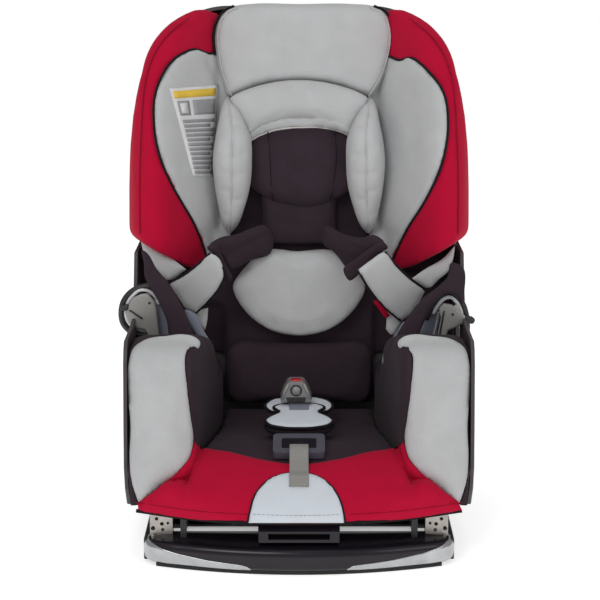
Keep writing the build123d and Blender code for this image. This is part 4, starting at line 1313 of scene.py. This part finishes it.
def buckle():
    """Buckle body with pale side ribs, a round boss, a dark mouth and the red strip along its top."""
    def place(x, z, y):
        return Vector((BUCKLE_X + x, y, BUCKLE_Z + z)) * MM

    def plate(name, outline, y, depth, look, body, bevel):
        moved = [(BUCKLE_X + x, BUCKLE_Z + z) for x, z in outline]
        return prism(name, moved, y, depth, look, body, bevel, 3)

    body = plate("buckle_body", BUCKLE, -24, 30, "buckle_plastic", "buckle", 1.8)
    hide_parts("buckle_housing")
    for side, sign in SIDES:
        rib = [place(sign * x, z, -24) for x, z in ((19, 7), (15.5, 17), (10.5, 27))]
        tube(f"buckle_rib_{side}", rib, 2.2, "grey_plastic", "buckle", sides=10)
    boss = [place(0, 18, y) for y in (-27, -25, -22)]
    tube("buckle_boss", boss, 6.0, "grey_plastic", "buckle", sides=28)
    turns = np.linspace(0, 2 * math.pi, 28)[:-1]
    ring = [place(7.2 * math.cos(t), 18 + 7.2 * math.sin(t), -25) for t in turns]
    tube("buckle_boss_ring", ring, 0.9, "dark_plastic", "buckle", closed=True)
    plate("buckle_mouth", [(-12, 1), (12, 1), (14, 8), (-14, 8)], -25, 4, "dark_plastic", "buckle", 0.6)
    button = plate("buckle_button_cap", [(-8, 27), (8, 27), (7, 32), (-7, 32)], -20, 12, "red_gloss",
                   "buckle_release", 1.0)
    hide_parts("buckle_button")


def adjuster():
    """Grey pull strap out of the frame's window, over the front of the pan, with a folded end."""
    line = ((-138, 147), (-150, 152), (-160, 150), (-170, 141), (-188, 128), (-206, 112))
    stations = [((0, y, z), 25) for y, z in line]
    web = strap("pull_strap", stations, 2.0, "grey_webbing", "seat", (0, -0.5, 1), 0.3)
    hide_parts("adjuster_strap")
    stations = [((0, -193, 126.5), 25.5), ((0, -207.5, 113), 25.5)]
    strap("pull_strap_end", stations, 2.6, "grey_webbing", "seat", (0, -0.5, 1), 0.3)


HEAD_EDGE = {
    "left": [(0, 708), (70, 708), (92, 705), (107, 697), (116, 684), (121, 664), (119, 636), (111, 602),
             (100, 577)],
    "right": [(0, 708), (76, 708), (106, 705), (122, 697), (131, 684), (136, 664), (133, 636), (120, 602),
              (104, 577)],
}
HEAD_LOW = [(80, 583), (56, 592), (28, 597), (0, 598)]
PIPING_OUT = 1.012
SEAM_IN = 0.955


def cushion(name, loop, low, high, crown, look, body, width, step=6):
    """A boxed cushion on the back's plane: a crowned front face, a rounded edge and a flat rear face."""
    spots, triangles, inner = fill(loop, step)
    front, back = [], []
    for (x, height), d in zip(spots, inner):
        puff = high - 9 + 9 * min(1.0, math.sqrt(d / 7)) + crown * round_over(d, width)
        front.append(on_back(x, height, puff))
        back.append(on_back(x, height, low))
    piece = close_sheet(name, front, back, triangles, look)
    return settle(piece, body)


def head_pad():
    """The pad above the insert, with a sewn edge line, and dark piping behind the upper part of its sides."""
    right = HEAD_EDGE["right"] + HEAD_LOW
    left = HEAD_EDGE["left"] + HEAD_LOW[:-1]
    whole = right + [(-x, h) for x, h in reversed(left[1:])]
    corner = len(HEAD_EDGE["right"]) - 1
    loop = flow(whole, 5, corners=(corner, corner + 2 * len(HEAD_LOW) - 1))
    piece = cushion("head_pad_cover", loop, -6, 26, 13, "grey_knit", "headrest", width=44)
    stand_for(piece, "head_pad")
    for side, sign in SIDES:
        line = curve(mirrored(HEAD_EDGE[side][2:7], sign))
        path = [on_back(x * PIPING_OUT, h, 21) for x, h in line]
        tube(f"head_pad_piping_{side}", path, 1.8, "piping_cord", "headrest")
        line = curve(mirrored(HEAD_EDGE[side][2:], sign))
        rim = [on_back(x * SEAM_IN, h - 3.5 * (h > 690), 32) for x, h in line]
        tube(f"head_pad_seam_{side}", rim, 0.9, "grey_knit", "headrest")


INSERT_Y = 110
INSERT_TOP = [(-84, 514), (-61, 528), (-45, 535), (-17, 541), (10, 542), (40, 541), (67, 533), (88, 516)]
INSERT_LOW = [(90, 476), (78, 457), (60, 445), (40, 436), (10, 430), (-10, 432), (-40, 440), (-67, 456),
              (-84, 478)]


def insert_seams():
    """Full dark middle of the newborn insert, with its sewn lines and the light edge below the arch."""
    surface = surface_of(bodies["insert_body"])
    loop = flow(INSERT_TOP + INSERT_LOW, 4, corners=(0, len(INSERT_TOP) - 1))
    folds = [
        curve([(-44, 536), (-41, 500), (-40, 470), (-38, 438)], 5),
        curve([(51, 538), (53, 500), (50, 470), (44, 436)], 5),
    ]
    middle = panel(
        "insert_middle", loop, INSERT_Y, surface, "dark_knit", "seat", crown=11, width=30,
        creases=[(fold, 4.0, 7.0) for fold in folds],
    )
    cover = surface_of(middle)
    for side, fold in zip(("left", "right"), folds):
        seam(f"insert_seam_{side}", fold, INSERT_Y, cover, "seat", 0.8, lift=0.1)
    low = curve(INSERT_LOW)
    seam("insert_low_seam", low, INSERT_Y, surface, "seat", 1.0, lift=0.3)
    lip = curve(INSERT_TOP) + curve([(x, z + 15) for x, z in reversed(INSERT_TOP)])
    arch = surface_of(bodies["insert_arch_pillow"], bodies["insert_body"], middle)
    panel("insert_arch_lip", lip, INSERT_Y, arch, "grey_knit", "seat", lift=0.8, crown=2.5, width=12)
    seam("insert_arch_edge", curve(INSERT_TOP), INSERT_Y, arch, "seat", 1.5, look="light_knit", lift=2.0)


def build():
    """Padded bodies first, then everything that is sewn to them."""
    for side, sign in SIDES:
        pad(f"headrest_wing_{side}", "red_knit", "headrest", cap=1.5)
        pad(f"side_bolster_{side}", "dark_knit", "seat", cap=3)
        side_pillow(side, sign)
    pad("seat_cushion", "dark_knit", "seat", cap=3, rounds=5)
    pad("back_cushion", "dark_knit", "seat", cap=2, rounds=5)
    pad("lumbar_pad", "dark_knit", "seat", cap=5, rounds=10, voxel=4, pressure=5)
    pad("belly_pad", "grey_knit", "seat", cap=3.5, rounds=18, voxel=4, pressure=5)
    pad("insert_arch_pillow", "grey_knit", "seat", cap=7, rounds=12, voxel=4)
    pad("insert_body", "dark_knit", "seat", cap=6, rounds=12, voxel=4)
    swell()
    wings()
    care_tag()
    arms()
    pan()
    head_pad()
    insert_seams()
    harness()
    linings()
    lockoffs()
    beam()
    buckle()
    crotch()
    adjuster()


looks = make_looks()
bodies = {}
camera()
studio()
dress_hard_nodes()
build()
